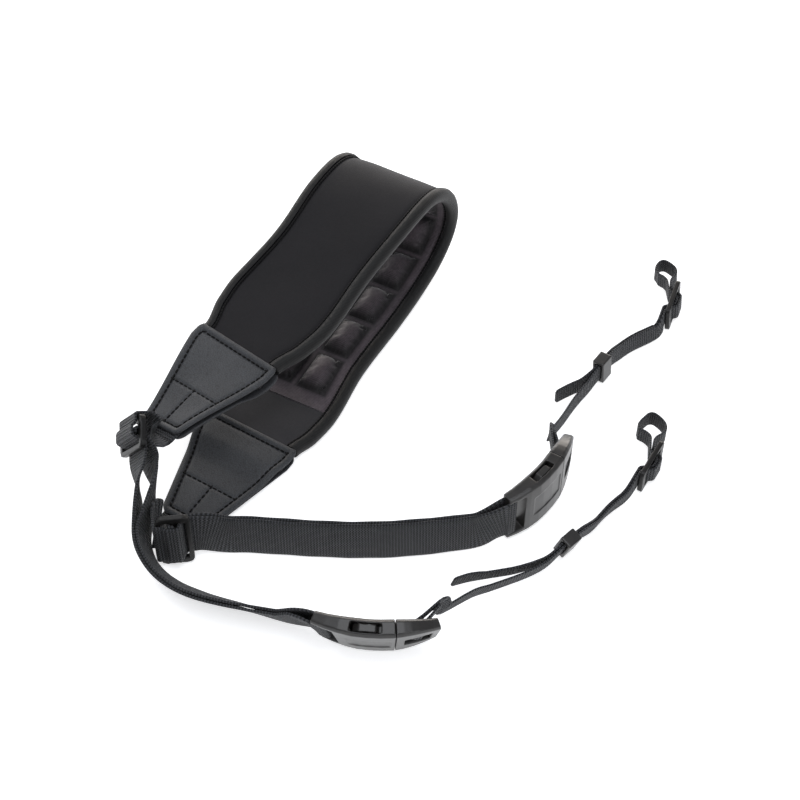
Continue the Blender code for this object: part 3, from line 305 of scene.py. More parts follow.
# %% Lines and curves
def smooth_curve(keys, values, points, start_slope=0.0, end_slope=0.0):
    """A smooth curve through the table's values that never overshoots them."""
    keys = np.asarray(keys, float)
    values = np.asarray(values, float)
    spans = np.diff(keys)
    rises = np.diff(values) / spans
    slopes = np.zeros_like(values)
    slopes[0] = start_slope
    slopes[-1] = end_slope
    for i in range(1, len(keys) - 1):
        if rises[i - 1] * rises[i] > 0:
            before = 2 * spans[i] + spans[i - 1]
            after = spans[i] + 2 * spans[i - 1]
            slopes[i] = (before + after) / (before / rises[i - 1] + after / rises[i])
    cell = np.clip(np.searchsorted(keys, points, side="right") - 1, 0, len(spans) - 1)
    t = (points - keys[cell]) / spans[cell]
    return ((1 + 2 * t) * (1 - t) ** 2 * values[cell]
            + t * (1 - t) ** 2 * spans[cell] * slopes[cell]
            + t * t * (3 - 2 * t) * values[cell + 1]
            + t * t * (t - 1) * spans[cell] * slopes[cell + 1])


def directions(heading, pitch, lean):
    """Unit vectors along the strap, across it and out of its face, from angles in degrees."""
    heading, pitch, lean = (np.radians(angle) for angle in (heading, pitch, lean))
    along = np.stack([np.cos(pitch) * np.cos(heading), np.cos(pitch) * np.sin(heading),
                      np.sin(pitch)], -1)
    left = np.stack([-np.sin(heading), np.cos(heading), 0 * heading], -1)
    above = np.cross(along, left)
    across = np.cos(lean)[..., None] * above + np.sin(lean)[..., None] * left
    return along, across, np.cross(along, across)


class Line:
    """The line that a strap follows, with its directions at every point."""

    STEP = 1 * MM

    def __init__(self, start):
        self.points = [np.asarray(start, float)]
        self.lengths = [0.0]
        self.frames = []
        self.angles = (0.0, 0.0, 0.0)

    def trace(self, length, heading, pitch, lean):
        """Add a stretch whose three angles are functions of the share of its length."""
        count = max(2, int(round(length / self.STEP)))
        shares = np.linspace(0, 1, count + 1)
        middles = (shares[1:] + shares[:-1]) / 2
        steps = directions(heading(middles), pitch(middles), lean(middles))[0] * length / count
        along, across, out = directions(heading(shares), pitch(shares), lean(shares))
        if not self.frames:
            self.frames.append((along[0], across[0], out[0]))
        for i in range(count):
            self.points.append(self.points[-1] + steps[i])
            self.lengths.append(self.lengths[-1] + length / count)
            self.frames.append((along[i + 1], across[i + 1], out[i + 1]))
        self.angles = tuple(float(angle(np.array([1.0]))[0]) for angle in (heading, pitch, lean))
        return self

    def straight(self, length, heading=None, pitch=None, lean=None):
        """Add a straight stretch, which goes on as before unless told otherwise."""
        given = (heading, pitch, lean)
        fixed = [old if new is None else new for old, new in zip(self.angles, given)]
        return self.trace(length, *[lambda t, a=a: a + 0 * t for a in fixed])

    def arc(self, length, turn):
        """Add an even bend to the left."""
        heading, pitch, lean = self.angles
        return self.trace(length, lambda t: heading + turn * t, lambda t: pitch + 0 * t,
                          lambda t: lean + 0 * t)

    def run(self, length, rows, rest):
        """Add a stretch along the table from rows of share, heading, lean and lift.

        rest gives the height at which the middle of the strap stands for a lean.
        """
        heading, pitch, lean = self.angles
        shares = [0.0] + [row[0] for row in rows]
        headings = [heading] + [row[1] for row in rows]
        leans = [lean] + [row[2] for row in rows]
        heights = [self.points[-1][2]] + [rest(row[0], row[2]) + row[3] for row in rows]
        first_slope = math.tan(math.radians(pitch)) * length * math.cos(math.radians(pitch))
        small = 1e-4

        def climb(t):
            high = smooth_curve(shares, heights, np.minimum(t + small, 1), first_slope)
            low = smooth_curve(shares, heights, np.maximum(t - small, 0), first_slope)
            width = (np.minimum(t + small, 1) - np.maximum(t - small, 0)) * length
            return np.degrees(np.arcsin(np.clip((high - low) / width, -0.98, 0.98)))

        return self.trace(length, lambda t: smooth_curve(shares, headings, t), climb,
                          lambda t: smooth_curve(shares, leans, t))

    def close(self):
        """Turn the traced lists into arrays."""
        self.points = np.array(self.points)
        self.lengths = np.array(self.lengths)
        self.frames = np.array(self.frames)
        return self

    def at(self, s):
        """Point and the three directions at s, going straight on past either end."""
        inside = min(max(s, 0.0), self.lengths[-1])
        point = np.array([np.interp(inside, self.lengths, self.points[:, i]) for i in range(3)])
        frame = np.array([[np.interp(inside, self.lengths, self.frames[:, row, i])
                           for i in range(3)] for row in range(3)])
        along = frame[0] / np.linalg.norm(frame[0])
        out = np.cross(along, frame[1])
        out /= np.linalg.norm(out)
        return point + along * (s - inside), along, np.cross(out, along), out

    def place(self, s, w, n):
        """World point at s along, w across and n out of the strap."""
        point, _, across, out = self.at(s)
        return point + across * w + out * n

    def grid(self, s, w, n):
        """World points for whole arrays of s, w and n at once."""
        places = [self.at(value) for value in s]
        middles = np.array([place[0] for place in places])[:, None]
        across = np.array([place[2] for place in places])[:, None]
        out = np.array([place[3] for place in places])[:, None]
        return middles + across * w[..., None] + out * n[..., None] + anchor

    def end(self):
        return self.lengths[-1]


def share_of(rows, column, share):
    """Smooth value of a table column at a share of the length."""
    keys = [row[0] for row in rows]
    return float(smooth_curve(keys, [row[column] for row in rows], np.array([share]))[0])


def on_edge(width, thickness, lean):
    """Height of the middle of a strip of this size that stands on its edge."""
    angle = math.radians(lean)
    return width / 2 * math.cos(angle) + thickness / 2 * abs(math.sin(angle))


def rounded(corners, steps=ARC_STEPS):
    """A path in s and n through corners (s, n, radius), each corner turned into an arc."""
    path = [np.array(corners[0][:2])]
    for i in range(1, len(corners) - 1):
        before, here, after = (np.array(corners[j][:2]) for j in (i - 1, i, i + 1))
        radius = corners[i][2]
        entry = (before - here) / np.linalg.norm(before - here)
        leave = (after - here) / np.linalg.norm(after - here)
        angle = math.acos(max(-1.0, min(1.0, float(np.dot(entry, leave)))))
        if radius <= 0 or angle > math.radians(177):
            path.append(here)
            continue
        reach = radius / math.tan(angle / 2)
        limit = 0.49 * min(np.linalg.norm(before - here), np.linalg.norm(after - here))
        reach = min(reach, limit)
        radius = reach * math.tan(angle / 2)
        centre = here + (entry + leave) / np.linalg.norm(entry + leave) * math.hypot(reach, radius)
        first = here + entry * reach - centre
        final = here + leave * reach - centre
        sweep = math.atan2(first[0] * final[1] - first[1] * final[0], float(np.dot(first, final)))
        for j in range(steps + 1):
            turn = sweep * j / steps
            path.append(centre + np.array([first[0] * math.cos(turn) - first[1] * math.sin(turn),
                                           first[0] * math.sin(turn) + first[1] * math.cos(turn)]))
    path.append(np.array(corners[-1][:2]))
    return path


def lead_in(start, start_along, start_across, end, end_along, end_across, count=10):
    """Sections of a twisted strip between two frames, on a cubic curve."""
    reach = np.linalg.norm(end - start) * 0.45
    knots = [start, start + start_along * reach, end - end_along * reach, end]
    if np.dot(start_across, end_across) < 0:
        start_across = -start_across
    sections = []
    for i in range(1, count):
        t = i / count
        weights = [(1 - t) ** 3, 3 * t * (1 - t) ** 2, 3 * t * t * (1 - t), t ** 3]
        middle = sum(weight * knot for weight, knot in zip(weights, knots))
        blend = t * t * (3 - 2 * t)
        across = start_across * (1 - blend) + end_across * blend
        sections.append((middle, across))
    return sections


# %% [markdown]
# ## Where each piece runs
#
# The pad, both sides and both webbings get their lines and paths here, from the same tables
# as the solids.

# %% Pad, patches and paths
def pad_line():
    """The middle of the pad from the tip of patch B, round the fold, to the tip of patch A."""
    shares = [row[0] for row in PAD_LINE]
    headings = [row[1] for row in PAD_LINE]
    pitches = [row[2] for row in PAD_LINE]
    leans = [row[3] for row in PAD_LINE]
    line = Line((0.0, 0.0, TABLE_TO_LINE))
    line.straight(PATCH_LENGTH["b"], headings[0], pitches[0], 90.0)
    line.trace(PAD_LENGTH, lambda t: smooth_curve(shares, headings, t),
               lambda t: smooth_curve(shares, pitches, t), lambda t: smooth_curve(shares, leans, t))
    roll = PATCH_A_LEAN - leans[-1]
    line.straight(PATCH_OVERLAP)
    line.trace(PATCH_LENGTH["a"] - PATCH_OVERLAP, lambda t: headings[-1] + 0 * t,
               lambda t: pitches[-1] + 0 * t, lambda t: leans[-1] + roll * t * t * (3 - 2 * t))
    return line.close()


def pad_edges(s, inset=0.0):
    """The w of the pad's right and left edge at s, moved in by inset."""
    share = min(max((s - PAD_START) / PAD_LENGTH, 0.0), 1.0)
    left = share_of(PAD_OUTLINE, 1, share) * PAD_WIDTH
    right = share_of(PAD_OUTLINE, 2, share) * PAD_WIDTH
    return -(right - inset), left - inset


def evenly(start, end, step):
    """Stations from start to end, no further apart than step."""
    return list(np.linspace(start, end, max(2, int(math.ceil((end - start) / step)) + 1)))


PAD_START = PATCH_LENGTH["b"]
PAD_END = PAD_START + PAD_LENGTH
SHELL_INSET = BINDING_THICKNESS + GAP
PANEL_INSET = BINDING_WIDTH * 0.35


def cell_rows():
    """Number of cell rows that fit between the end panels."""
    return int((PAD_LENGTH - 2 * END_PANEL_LENGTH - 2 * CELL_END_MARGIN) / CELL_PITCH)


def cell_field():
    """The s where the first row of cells starts and the last one ends."""
    plain = (PAD_LENGTH - cell_rows() * CELL_PITCH) / 2
    return PAD_START + plain, PAD_END - plain


def cell_zone():
    """The s where the skin with the cells starts and ends."""
    first, last = cell_field()
    return first - CELL_END_MARGIN, last + CELL_END_MARGIN


def cad_stations(start, end):
    """The s of every section between start and end, the same for all layers of the pad."""
    first, last = cell_field()
    grid = evenly(0.0, first, PAD_STEP)
    for row in range(cell_rows()):
        base = first + row * CELL_PITCH + CELL_GAP / 2
        grid += [base + (CELL_PITCH - CELL_GAP) * share for share in CELL_SHARES]
    grid += evenly(last, PAD_END + PATCH_LENGTH["a"], PAD_STEP)
    return [start] + [s for s in grid if start + MM < s < end - MM] + [end]


def patch_edges(side, reach):
    """The w of the patch's right and left edge at a distance from its straight edge."""
    length = PATCH_LENGTH[side]
    shoulder = PATCH_CORNER * 2.2
    half = PATCH_WIDTH / 2
    spread = PATCH_SPREAD[side] * (1 - reach / length)
    if reach < PATCH_CORNER:
        width = half - PATCH_CORNER * 0.45 * (1 - reach / PATCH_CORNER) ** 2
    elif reach < shoulder:
        width = half
    else:
        width = half + (PATCH_TIP_WIDTH / 2 - half) * (reach - shoulder) / (length - shoulder)
    left = length - reach
    if left < PATCH_CORNER:
        width -= PATCH_CORNER * 0.6 * (1 - left / PATCH_CORNER) ** 2
    return -width, width + spread


def web_level():
    """The n of the webbing's middle inside the patch."""
    return -SHELL_HALF + PATCH_ROOM + WIDE_THICKNESS / 2


def inner_patch_level(side, reach):
    """The n of the inner patch's lower face, from over the pad down to over the webbing."""
    high = PANEL_TOP + GAP
    low = web_level() + WIDE_THICKNESS / 2 + GAP + PATCH_ROOM
    start = PATCH_OVERLAP + PAST_PAD
    share = min(max((reach - start) / (0.45 * PATCH_LENGTH[side] - start), 0.0), 1.0)
    return high + (low - high) * share * share * (3 - 2 * share)


def wide_path(side, buckle_start):
    """Path in s and n of the wide webbing from the slider's first bar onwards."""
    low = -WIDE_LAYER
    bulge = WIDE_BULGE[side]
    middle = SLIDER_LENGTH / 2
    edge = SLIDER_BAR / 2
    slot = (SLIDER_LENGTH - 3 * SLIDER_BAR) / 2
    clear = WIDE_THICKNESS / 2 + GAP
    over_bar = SLIDER_THICKNESS + 2 * clear
    over_loop = over_bar + WIDE_LAYER
    bend = 2.0 * MM
    tight = 1.0 * MM
    bar = buckle_start + BUCKLE_BAR / 2
    wrap = BUCKLE_BAR_HALF + clear
    beside = BUCKLE_BAR / 2 + clear
    return [
        (-clear - 0.6 * MM, -LEAD_BEHIND[side], 0),
        (-clear, over_bar, tight),
        (middle - edge - slot + 0.2 * slot, over_bar, tight),
        (middle - edge - clear - 0.2 * slot, over_loop, bend),
        (middle + edge + 0.15 * slot, over_loop, bend),
        (middle + edge + 0.80 * slot, 0.0, bend),
        (SLIDER_LENGTH + PAST_SLIDER, 0.0, bend),
        (bar - WRAP_RISE, 0.0, 4 * bend),
        (bar - beside, wrap, tight),
        (bar + beside, wrap, tight),
        (bar + beside, -wrap, tight),
        (bar - beside, -wrap, tight),
        (bar - WRAP_FALL, low, 4 * bend),
        (SLIDER_LENGTH + BULGE_END, low, 8 * bend),
        (SLIDER_LENGTH + BULGE_AT, low - bulge, 8 * bend),
        (SLIDER_LENGTH, low - 0.5 * bulge, 4 * bend),
        (middle + edge + 0.4 * slot, low, bend),
        (middle + edge, 0.0, bend),
        (middle - edge - clear, 0.0, tight),
        (middle - edge - clear, over_bar, tight),
        (middle + edge, over_bar, 0),
    ]


def side_line(pad, side):
    """The line of one side from its slider to its buckle's plug end."""
    sign = -1 if side == "b" else 1
    tip = (PAD_START if side == "b" else PAD_END) + sign * PATCH_LENGTH[side]
    point, along, _, _ = pad.at(tip)
    place = SLIDER_PLACE[side]
    flat = np.array([along[0], along[1], 0.0]) * sign
    flat /= np.linalg.norm(flat)
    left = np.array([-flat[1], flat[0], 0.0])
    corner = point + flat * place["out"] + left * place["left"]
    corner = corner + np.array([0.0, 0.0, place["up"]])
    if side == "b":
        corner[2] = STRAP_LIFT + on_edge(SLIDER_WIDTH, SLIDER_THICKNESS, place["lean"])
    line = Line(corner)
    reach = SLIDER_LENGTH + PAST_SLIDER
    line.straight(reach, place["heading"], place["pitch"], place["lean"])
    stack = 2 * WIDE_THICKNESS + LAYER_GAP

    def rest(share, lean):
        if share >= 1.0:
            return STRAP_LIFT + on_edge(BUCKLE_WIDTH, BUCKLE_THICKNESS, lean)
        return STRAP_LIFT + on_edge(WIDE_WEBBING, stack, lean)

    line.run(WIDE_RUN_LENGTH[side], WIDE_RUN[side], rest)
    start = line.lengths[-1]
    line.arc(BUCKLE_LENGTH, BUCKLE_BEND)
    return line.close(), start


def angles_of(along, across):
    """Heading, pitch and lean in degrees of a frame."""
    heading = math.atan2(along[1], along[0])
    pitch = math.asin(max(-1.0, min(1.0, along[2])))
    left = np.array([-math.sin(heading), math.cos(heading), 0.0])
    lean = math.atan2(float(np.dot(across, left)), float(np.dot(across, np.cross(along, left))))
    return [math.degrees(angle) for angle in (heading, pitch, lean)]


def narrow_line(line, side, buckle_end):
    """The line of the narrow webbing from the plug's bar to the end of the camera loop."""
    bar = buckle_end - PLUG_BAR_FROM_END
    point, along, across, out = line.at(bar)
    turn = math.radians(NARROW_TURN[side])
    start = point - out * (PLUG_BAR_HALF + NARROW_THICKNESS / 2 + GAP + PLUG_DROP)
    leaving = along * math.cos(turn) - out * math.sin(turn)
    narrow = Line(start)
    narrow.straight(SEWN_FOLD, *angles_of(leaving, across))
    stack = 2 * NARROW_THICKNESS + LAYER_GAP
    keeper_height = KEEPER_HOLE + 2 * KEEPER_WALL

    def to_keeper(share, lean):
        if share >= 1.0:
            return STRAP_LIFT + on_edge(KEEPER_WIDTH, keeper_height, lean)
        return STRAP_LIFT + on_edge(NARROW_WEBBING, stack, lean)

    def to_slider(share, lean):
        if share >= 1.0:
            return STRAP_LIFT + on_edge(LOOP_SLIDER_WIDTH, LOOP_SLIDER_THICKNESS + 2 * stack, lean)
        return STRAP_LIFT + on_edge(NARROW_WEBBING, stack, lean)

    narrow.run(FIRST_RUN_LENGTH[side] - SEWN_FOLD, FIRST_RUN[side], to_keeper)
    keeper_start = narrow.end() + MM
    narrow.straight(KEEPER_LENGTH + 2 * MM)
    narrow.run(SECOND_RUN_LENGTH[side], SECOND_RUN[side], to_slider)
    slider_start = narrow.end() + MM
    narrow.straight(LOOP_SLIDER_LENGTH + 2 * MM)
    narrow.arc(LOOP_LENGTH, LOOP_TURN[side])
    return narrow.close(), keeper_start, slider_start


def fold_corners(side):
    """The narrow webbing round the plug's bar, as corners in s and n of the narrow line."""
    turn = math.radians(NARROW_TURN[side])
    clear = NARROW_THICKNESS / 2 + GAP
    reach = PLUG_BAR / 2 + clear
    level = PLUG_BAR_HALF + clear
    bend = 1.2 * MM
    corners = []
    for s, n in ((reach, -level), (reach, level), (-reach, level), (-reach, -level - PLUG_DROP * 0.6)):
        raised = n + level + PLUG_DROP
        corners.append((s * math.cos(turn) - raised * math.sin(turn),
                        s * math.sin(turn) + raised * math.cos(turn), bend))
    return corners


def narrow_path(side, keeper_start, slider_start):
    """Path in s and n of the narrow webbing, from its sewn fold to its free end."""
    clear = NARROW_THICKNESS / 2 + GAP
    slot = (LOOP_SLIDER_LENGTH - 3 * LOOP_SLIDER_BAR) / 2
    edge = LOOP_SLIDER_BAR / 2
    middle = slider_start + LOOP_SLIDER_LENGTH / 2
    over = LOOP_SLIDER_THICKNESS + 2 * clear
    high = over + NARROW_LAYER
    bend = 2 * MM
    low = -NARROW_LAYER
    past = slider_start + LOOP_SLIDER_LENGTH + 2 * MM
    far = slider_start + LOOP_SLIDER_LENGTH + LOOP_LENGTH
    width = LOOP_WIDTH[side]
    offset = LOOP_OFFSET
    tail = TAIL_LENGTH[side]
    spread = TAIL_SPREAD[side]
    return [
        (SEWN_FOLD, NARROW_LAYER, 0),
        *fold_corners(side),
        (PLUG_BAR + 2 * clear, 0.0, 4 * MM),
        (middle - edge - 0.92 * slot, 0.0, bend),
        (middle - edge - 0.30 * slot, high, bend),
        (middle + edge + 0.30 * slot, high, bend),
        (middle + edge + 0.92 * slot, 0.0, bend),
        (past, -offset, 4 * bend),
        (past + 0.35 * LOOP_LENGTH, width * 0.5 - offset, 4 * bend),
        (far, width * 0.3 - offset, 2 * bend),
        (far, -width * 0.5 - offset, 2 * bend),
        (past + 0.35 * LOOP_LENGTH, -width * 0.6 - offset, 4 * bend),
        (past, low - offset, 4 * bend),
        (middle + edge + 0.66 * slot, low, bend),
        (middle + edge + 0.08 * slot, over, bend),
        (middle - edge - 0.08 * slot, over, bend),
        (middle - edge - 0.66 * slot, low, bend),
        (keeper_start + KEEPER_LENGTH, low, bend),
        (keeper_start - 0.1 * tail, low, 8 * bend),
        (keeper_start - 0.5 * tail, low - 0.35 * spread, 8 * bend),
        (keeper_start - tail, low - spread, 0),
    ]


# %% Place the lines in the frame
anchor = np.zeros(3)
pad = pad_line()
ends = cad_stations(PAD_START - PATCH_OVERLAP, PAD_END + PATCH_OVERLAP)
shell_corners = np.array([pad.place(s, w, n) for s in ends for w in pad_edges(s, SHELL_INSET)
                          for n in (-SHELL_HALF, SHELL_HALF)])
shell_low = np.array(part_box("pad_shell")[0])
anchor = shell_low - shell_corners.min(axis=0)
anchor[2] = 0.0
tip = pad.place(0, 0, 0) + anchor
photo_middle = Vector((tip[0] + PHOTO_MIDDLE[0], tip[1] + PHOTO_MIDDLE[1], 0.0))
print("anchor", anchor, "middle of the picture", tuple(photo_middle))

camera = bpy.data.objects.new("camera", bpy.data.cameras.new("camera"))
bpy.context.scene.collection.objects.link(camera)
camera.data.lens = LENS
camera.data.sensor_width = 36.0
camera.data.clip_start = 0.01
aim(camera, photo_middle + CAMERA_DISTANCE * Vector((0, -math.cos(CAMERA_HEIGHT_ANGLE),
                                                     math.sin(CAMERA_HEIGHT_ANGLE))), photo_middle)
bpy.context.scene.camera = camera

# %% [markdown]
# ## Shader maths in Python
#
# A weave is arithmetic on coordinates. A small class wraps a socket, so that an ordinary
# Python expression such as 1 - mask * 0.5 adds the Math nodes for it.

# %% A socket that takes operators


class Wire:
    """One output socket of a material, or a number made by Math nodes from such sockets."""

    def __init__(self, bench, socket):
        self.bench = bench
        self.socket = socket

    def join(self, operation, *others):
        return self.bench.node("ShaderNodeMath", {"operation": operation}, *others)[0]

    def __add__(self, other):
        return self.join("ADD", self, other)

    def __sub__(self, other):
        return self.join("SUBTRACT", self, other)

    def __mul__(self, other):
        return self.join("MULTIPLY", self, other)

    def __truediv__(self, other):
        return self.join("DIVIDE", self, other)

    def __pow__(self, other):
        return self.join("POWER", self, other)

    def __radd__(self, other):
        return self.join("ADD", other, self)

    def __rsub__(self, other):
        return self.join("SUBTRACT", other, self)

    def __rmul__(self, other):
        return self.join("MULTIPLY", other, self)

    def sine(self):
        return self.join("SINE", self)

    def size(self):
        return self.join("ABSOLUTE", self)

    def between(self, low, high):
        """0 below low, 1 above high, smooth in between."""
        return self.bench.node("ShaderNodeMapRange", {"interpolation_type": "SMOOTHSTEP"},
                               self, low, high, 0.0, 1.0)[0]


class Bench:
    """The nodes of one material."""

    def __init__(self, name, roughness, **constants):
        self.material = bpy.data.materials.new(name)
        self.material.use_nodes = True
        self.tree = self.material.node_tree
        self.shader = self.tree.nodes["Principled BSDF"]
        self.shader.inputs["Roughness"].default_value = roughness
        for socket, value in constants.items():
            self.shader.inputs[socket.replace("_", " ")].default_value = value

    def node(self, kind, settings, *values, **named):
        """Add a node: its settings first, then its sockets in order or by name."""
        item = self.tree.nodes.new(kind)
        for setting, value in settings.items():
            setattr(item, setting, value)
        sockets = list(zip(item.inputs, values))
        sockets += [(item.inputs[name.replace("_", " ")], value) for name, value in named.items()]
        for socket, value in sockets:
            if isinstance(value, Wire):
                self.tree.links.new(value.socket, socket)
            elif value is not None:
                socket.default_value = value
        return [Wire(self, output) for output in item.outputs]

    def places(self):
        """Object coordinates in metres."""
        return self.node("ShaderNodeTexCoord", {})[3]

    def split(self, vector):
        return self.node("ShaderNodeSeparateXYZ", {}, vector)

    def weave_places(self):
        """Metres across and along the cloth, from the piece's own UV map."""
        return self.split(self.node("ShaderNodeUVMap", {"uv_map": "weave"})[0])

    def noise(self, vector, scale, detail=2.0, roughness=0.5):
        return self.node("ShaderNodeTexNoise", {}, Vector=vector, Scale=scale, Detail=detail,
                         Roughness=roughness)[0]

    def blend(self, factor, first, second):
        """Mix two colours."""
        item = self.tree.nodes.new("ShaderNodeMix")
        item.data_type = "RGBA"
        for index, value in ((0, factor), (6, first), (7, second)):
            if isinstance(value, Wire):
                self.tree.links.new(value.socket, item.inputs[index])
            else:
                item.inputs[index].default_value = value
        return Wire(self, item.outputs[2])

    def feed(self, name, wire):
        self.tree.links.new(wire.socket, self.shader.inputs[name])

    def bump(self, height, distance, strength=1.0):
        """Feed a height in shares of distance to the shader's normal."""
        normal = self.node("ShaderNodeBump", {}, Strength=strength, Distance=distance,
                           Height=height)[0]
        self.feed("Normal", normal)


def shade(value, tint=(1.0, 1.0, 1.0)):
    """A dark colour as RGBA."""
    return (value * tint[0], value * tint[1], value * tint[2], 1.0)


# %% [markdown]
# ## Webbing
#
# Nylon webbing has fine ribs across it, one for each weft thread, and a rounder edge where the
# weft turns back. Its UV map holds metres across and along, so a rib stays one rib wide.

# %% The webbing's weave
RIB_PITCH = 1.5 * MM
WARP_PITCH = 0.9 * MM


def webbing_material(name, width):
    bench = Bench(name, 0.62, Sheen_Weight=0.12, Sheen_Roughness=0.4, Specular_IOR_Level=0.35)
    across, along, _ = bench.weave_places()
    offset = (across / WARP_PITCH * math.pi).sine()
    ribs = (along / RIB_PITCH * (2 * math.pi) + offset * 0.7).sine() * 0.5 + 0.5
    warps = (across / WARP_PITCH * (2 * math.pi)).sine() * 0.5 + 0.5
    edge = (across / (width / 2)).size().between(0.84, 0.97)
    lint = bench.noise(bench.places(), 420.0, 3.0)
    cloudy = bench.noise(bench.places(), 38.0, 2.0)
    height = ribs * (1.0 - edge * 0.5) + warps * 0.35 + lint * 0.3
    bench.bump(height, 0.60 * MM, 1.0)
    tone = (ribs * 0.8 + warps * 0.25 + cloudy * 0.35 + lint * 0.2) / 1.6
    bench.feed("Base Color", bench.blend(tone.between(0.15, 0.9), shade(0.004, (0.95, 0.98, 1.1)),
                                         shade(0.044, (0.95, 1.0, 1.12))))
    bench.feed("Roughness", 0.74 - ribs * 0.14 + cloudy * 0.1)
    return bench.material


# %% [markdown]
# ## Cloth of the pad
#
# The outer face is a smooth stretch cloth over foam, nearly black, with a very fine knit. The
# inner face is a thinner knit with a faint plum cast.

# %% The pad's two cloths and its edge tape


def knit_material(name, dark, light, tint, pitch, roughness, sheen, painted_cell_shade=False):
    """A fine knit. With painted cell shade it is darker where its second UV map is low."""
    bench = Bench(name, roughness, Sheen_Weight=sheen, Sheen_Roughness=0.5,
                  Specular_IOR_Level=0.3)
    across, along, _ = bench.weave_places()
    wale = (across / pitch * (2 * math.pi)).sine()
    course = (along / pitch * (2 * math.pi) + wale * 1.1).sine()
    loops = wale * course * 0.5 + 0.5
    fuzz = bench.noise(bench.places(), 700.0, 3.0, 0.6)
    cloudy = bench.noise(bench.places(), 26.0, 3.0)
    bench.bump(loops * 0.6 + fuzz * 0.6, 0.10 * MM, 0.7)
    tone = (loops * 0.35 + fuzz * 0.35 + cloudy * 0.6) / 1.3
    share = tone.between(0.2, 0.85)
    # Painted shade and light: the colour is scaled by the swell UV map, low at the foot of each air
    # cell and high on its top.
    if painted_cell_shade:
        share = share * bench.split(bench.node("ShaderNodeUVMap", {"uv_map": "swell"})[0])[0]
    bench.feed("Base Color", bench.blend(share, shade(dark, tint), shade(light, tint)))
    bench.feed("Roughness", roughness - 0.05 + cloudy * 0.1)
    return bench.material


def tape_material(name):
    bench = Bench(name, 0.7, Sheen_Weight=0.05, Sheen_Roughness=0.4, Specular_IOR_Level=0.28)
    across, along, _ = bench.weave_places()
    ribs = ((along + across * 0.6) / (0.9 * MM) * (2 * math.pi)).sine() * 0.5 + 0.5
    fuzz = bench.noise(bench.places(), 500.0, 3.0)
    bench.bump(ribs * 0.7 + fuzz * 0.4, 0.16 * MM, 0.7)
    bench.feed("Base Color", bench.blend(ribs * 0.6 + fuzz * 0.3, shade(0.003), shade(0.011)))
    bench.feed("Roughness", 0.66 - ribs * 0.12)
    return bench.material


# %% [markdown]
# ## Leather
#
# The ends are a pebbled black leatherette with a soft sheen. Small cells from a Voronoi
# texture make the pebbles, and a broad noise makes it a little shinier where it is rubbed.

# %% The leather's grain


def leather_material(name):
    bench = Bench(name, 0.6, Specular_IOR_Level=0.36, Coat_Roughness=0.5)
    places = bench.places()
    bent = bench.node("ShaderNodeVectorMath", {"operation": "MULTIPLY_ADD"},
                      bench.node("ShaderNodeTexNoise", {}, Vector=places, Scale=260.0,
                                 Detail=2.0)[1], (0.0012, 0.0012, 0.0012), places)[0]
    pebble = bench.node("ShaderNodeTexVoronoi", {"feature": "DISTANCE_TO_EDGE"}, Vector=bent,
                        Scale=950.0)[0]
    crease = pebble.between(0.0, 0.16)
    fine = bench.noise(places, 1600.0, 2.0)
    rubbed = bench.noise(places, 55.0, 3.0)
    bench.bump(crease * 0.8 + fine * 0.25 + rubbed * 0.15, 0.10 * MM, 0.7)
    bench.feed("Base Color", bench.blend(crease * 0.5 + rubbed * 0.35, shade(0.020),
                                         shade(0.054, (0.92, 0.99, 1.12))))
    bench.feed("Roughness", 0.68 - rubbed * 0.10 - crease * 0.03)
    bench.feed("Coat Weight", rubbed.between(0.45, 0.8) * 0.08)
    return bench.material


# %% [markdown]
# ## Moulded plastic
#
# The buckles, sliders and keepers are glossy black plastic. It isn't a mirror: the mould
# leaves a faint ripple, and handling leaves dull patches and fine scratches.

# %% The plastic's gloss


def plastic_material(name, gloss, light):
    bench = Bench(name, 0.3, Specular_IOR_Level=gloss)
    places = bench.places()
    ripple = bench.noise(places, 120.0, 2.0)
    speck = bench.noise(places, 1500.0, 3.0, 0.65)
    stretched = bench.node("ShaderNodeMapping", {}, Vector=places, Rotation=(0.3, 0.2, 0.7),
                           Scale=(1.0, 14.0, 3.0))[0]
    scratch = bench.noise(stretched, 160.0, 4.0, 0.7).between(0.62, 0.72)
    bench.bump(ripple * 0.6 + speck * 0.25 + scratch * 0.15, 0.10 * MM, 0.6)
    bench.feed("Base Color", bench.blend(ripple * 0.6 + scratch * 0.4, shade(light * 0.35),
                                         shade(light, (1.12, 1.0, 0.9))))
    bench.feed("Roughness", 0.42 - gloss * 0.36 + ripple * 0.12 + scratch * 0.14 + speck * 0.05)
    return bench.material


def thread_material(name):
    bench = Bench(name, 0.7, Sheen_Weight=0.05, Specular_IOR_Level=0.15)
    twist = bench.noise(bench.places(), 1800.0, 2.0)
    bench.bump(twist, 0.05 * MM, 0.6)
    bench.feed("Base Color", bench.blend(twist, shade(0.001), shade(0.006)))
    bench.feed("Roughness", 0.7 + twist * 0.15)
    return bench.material


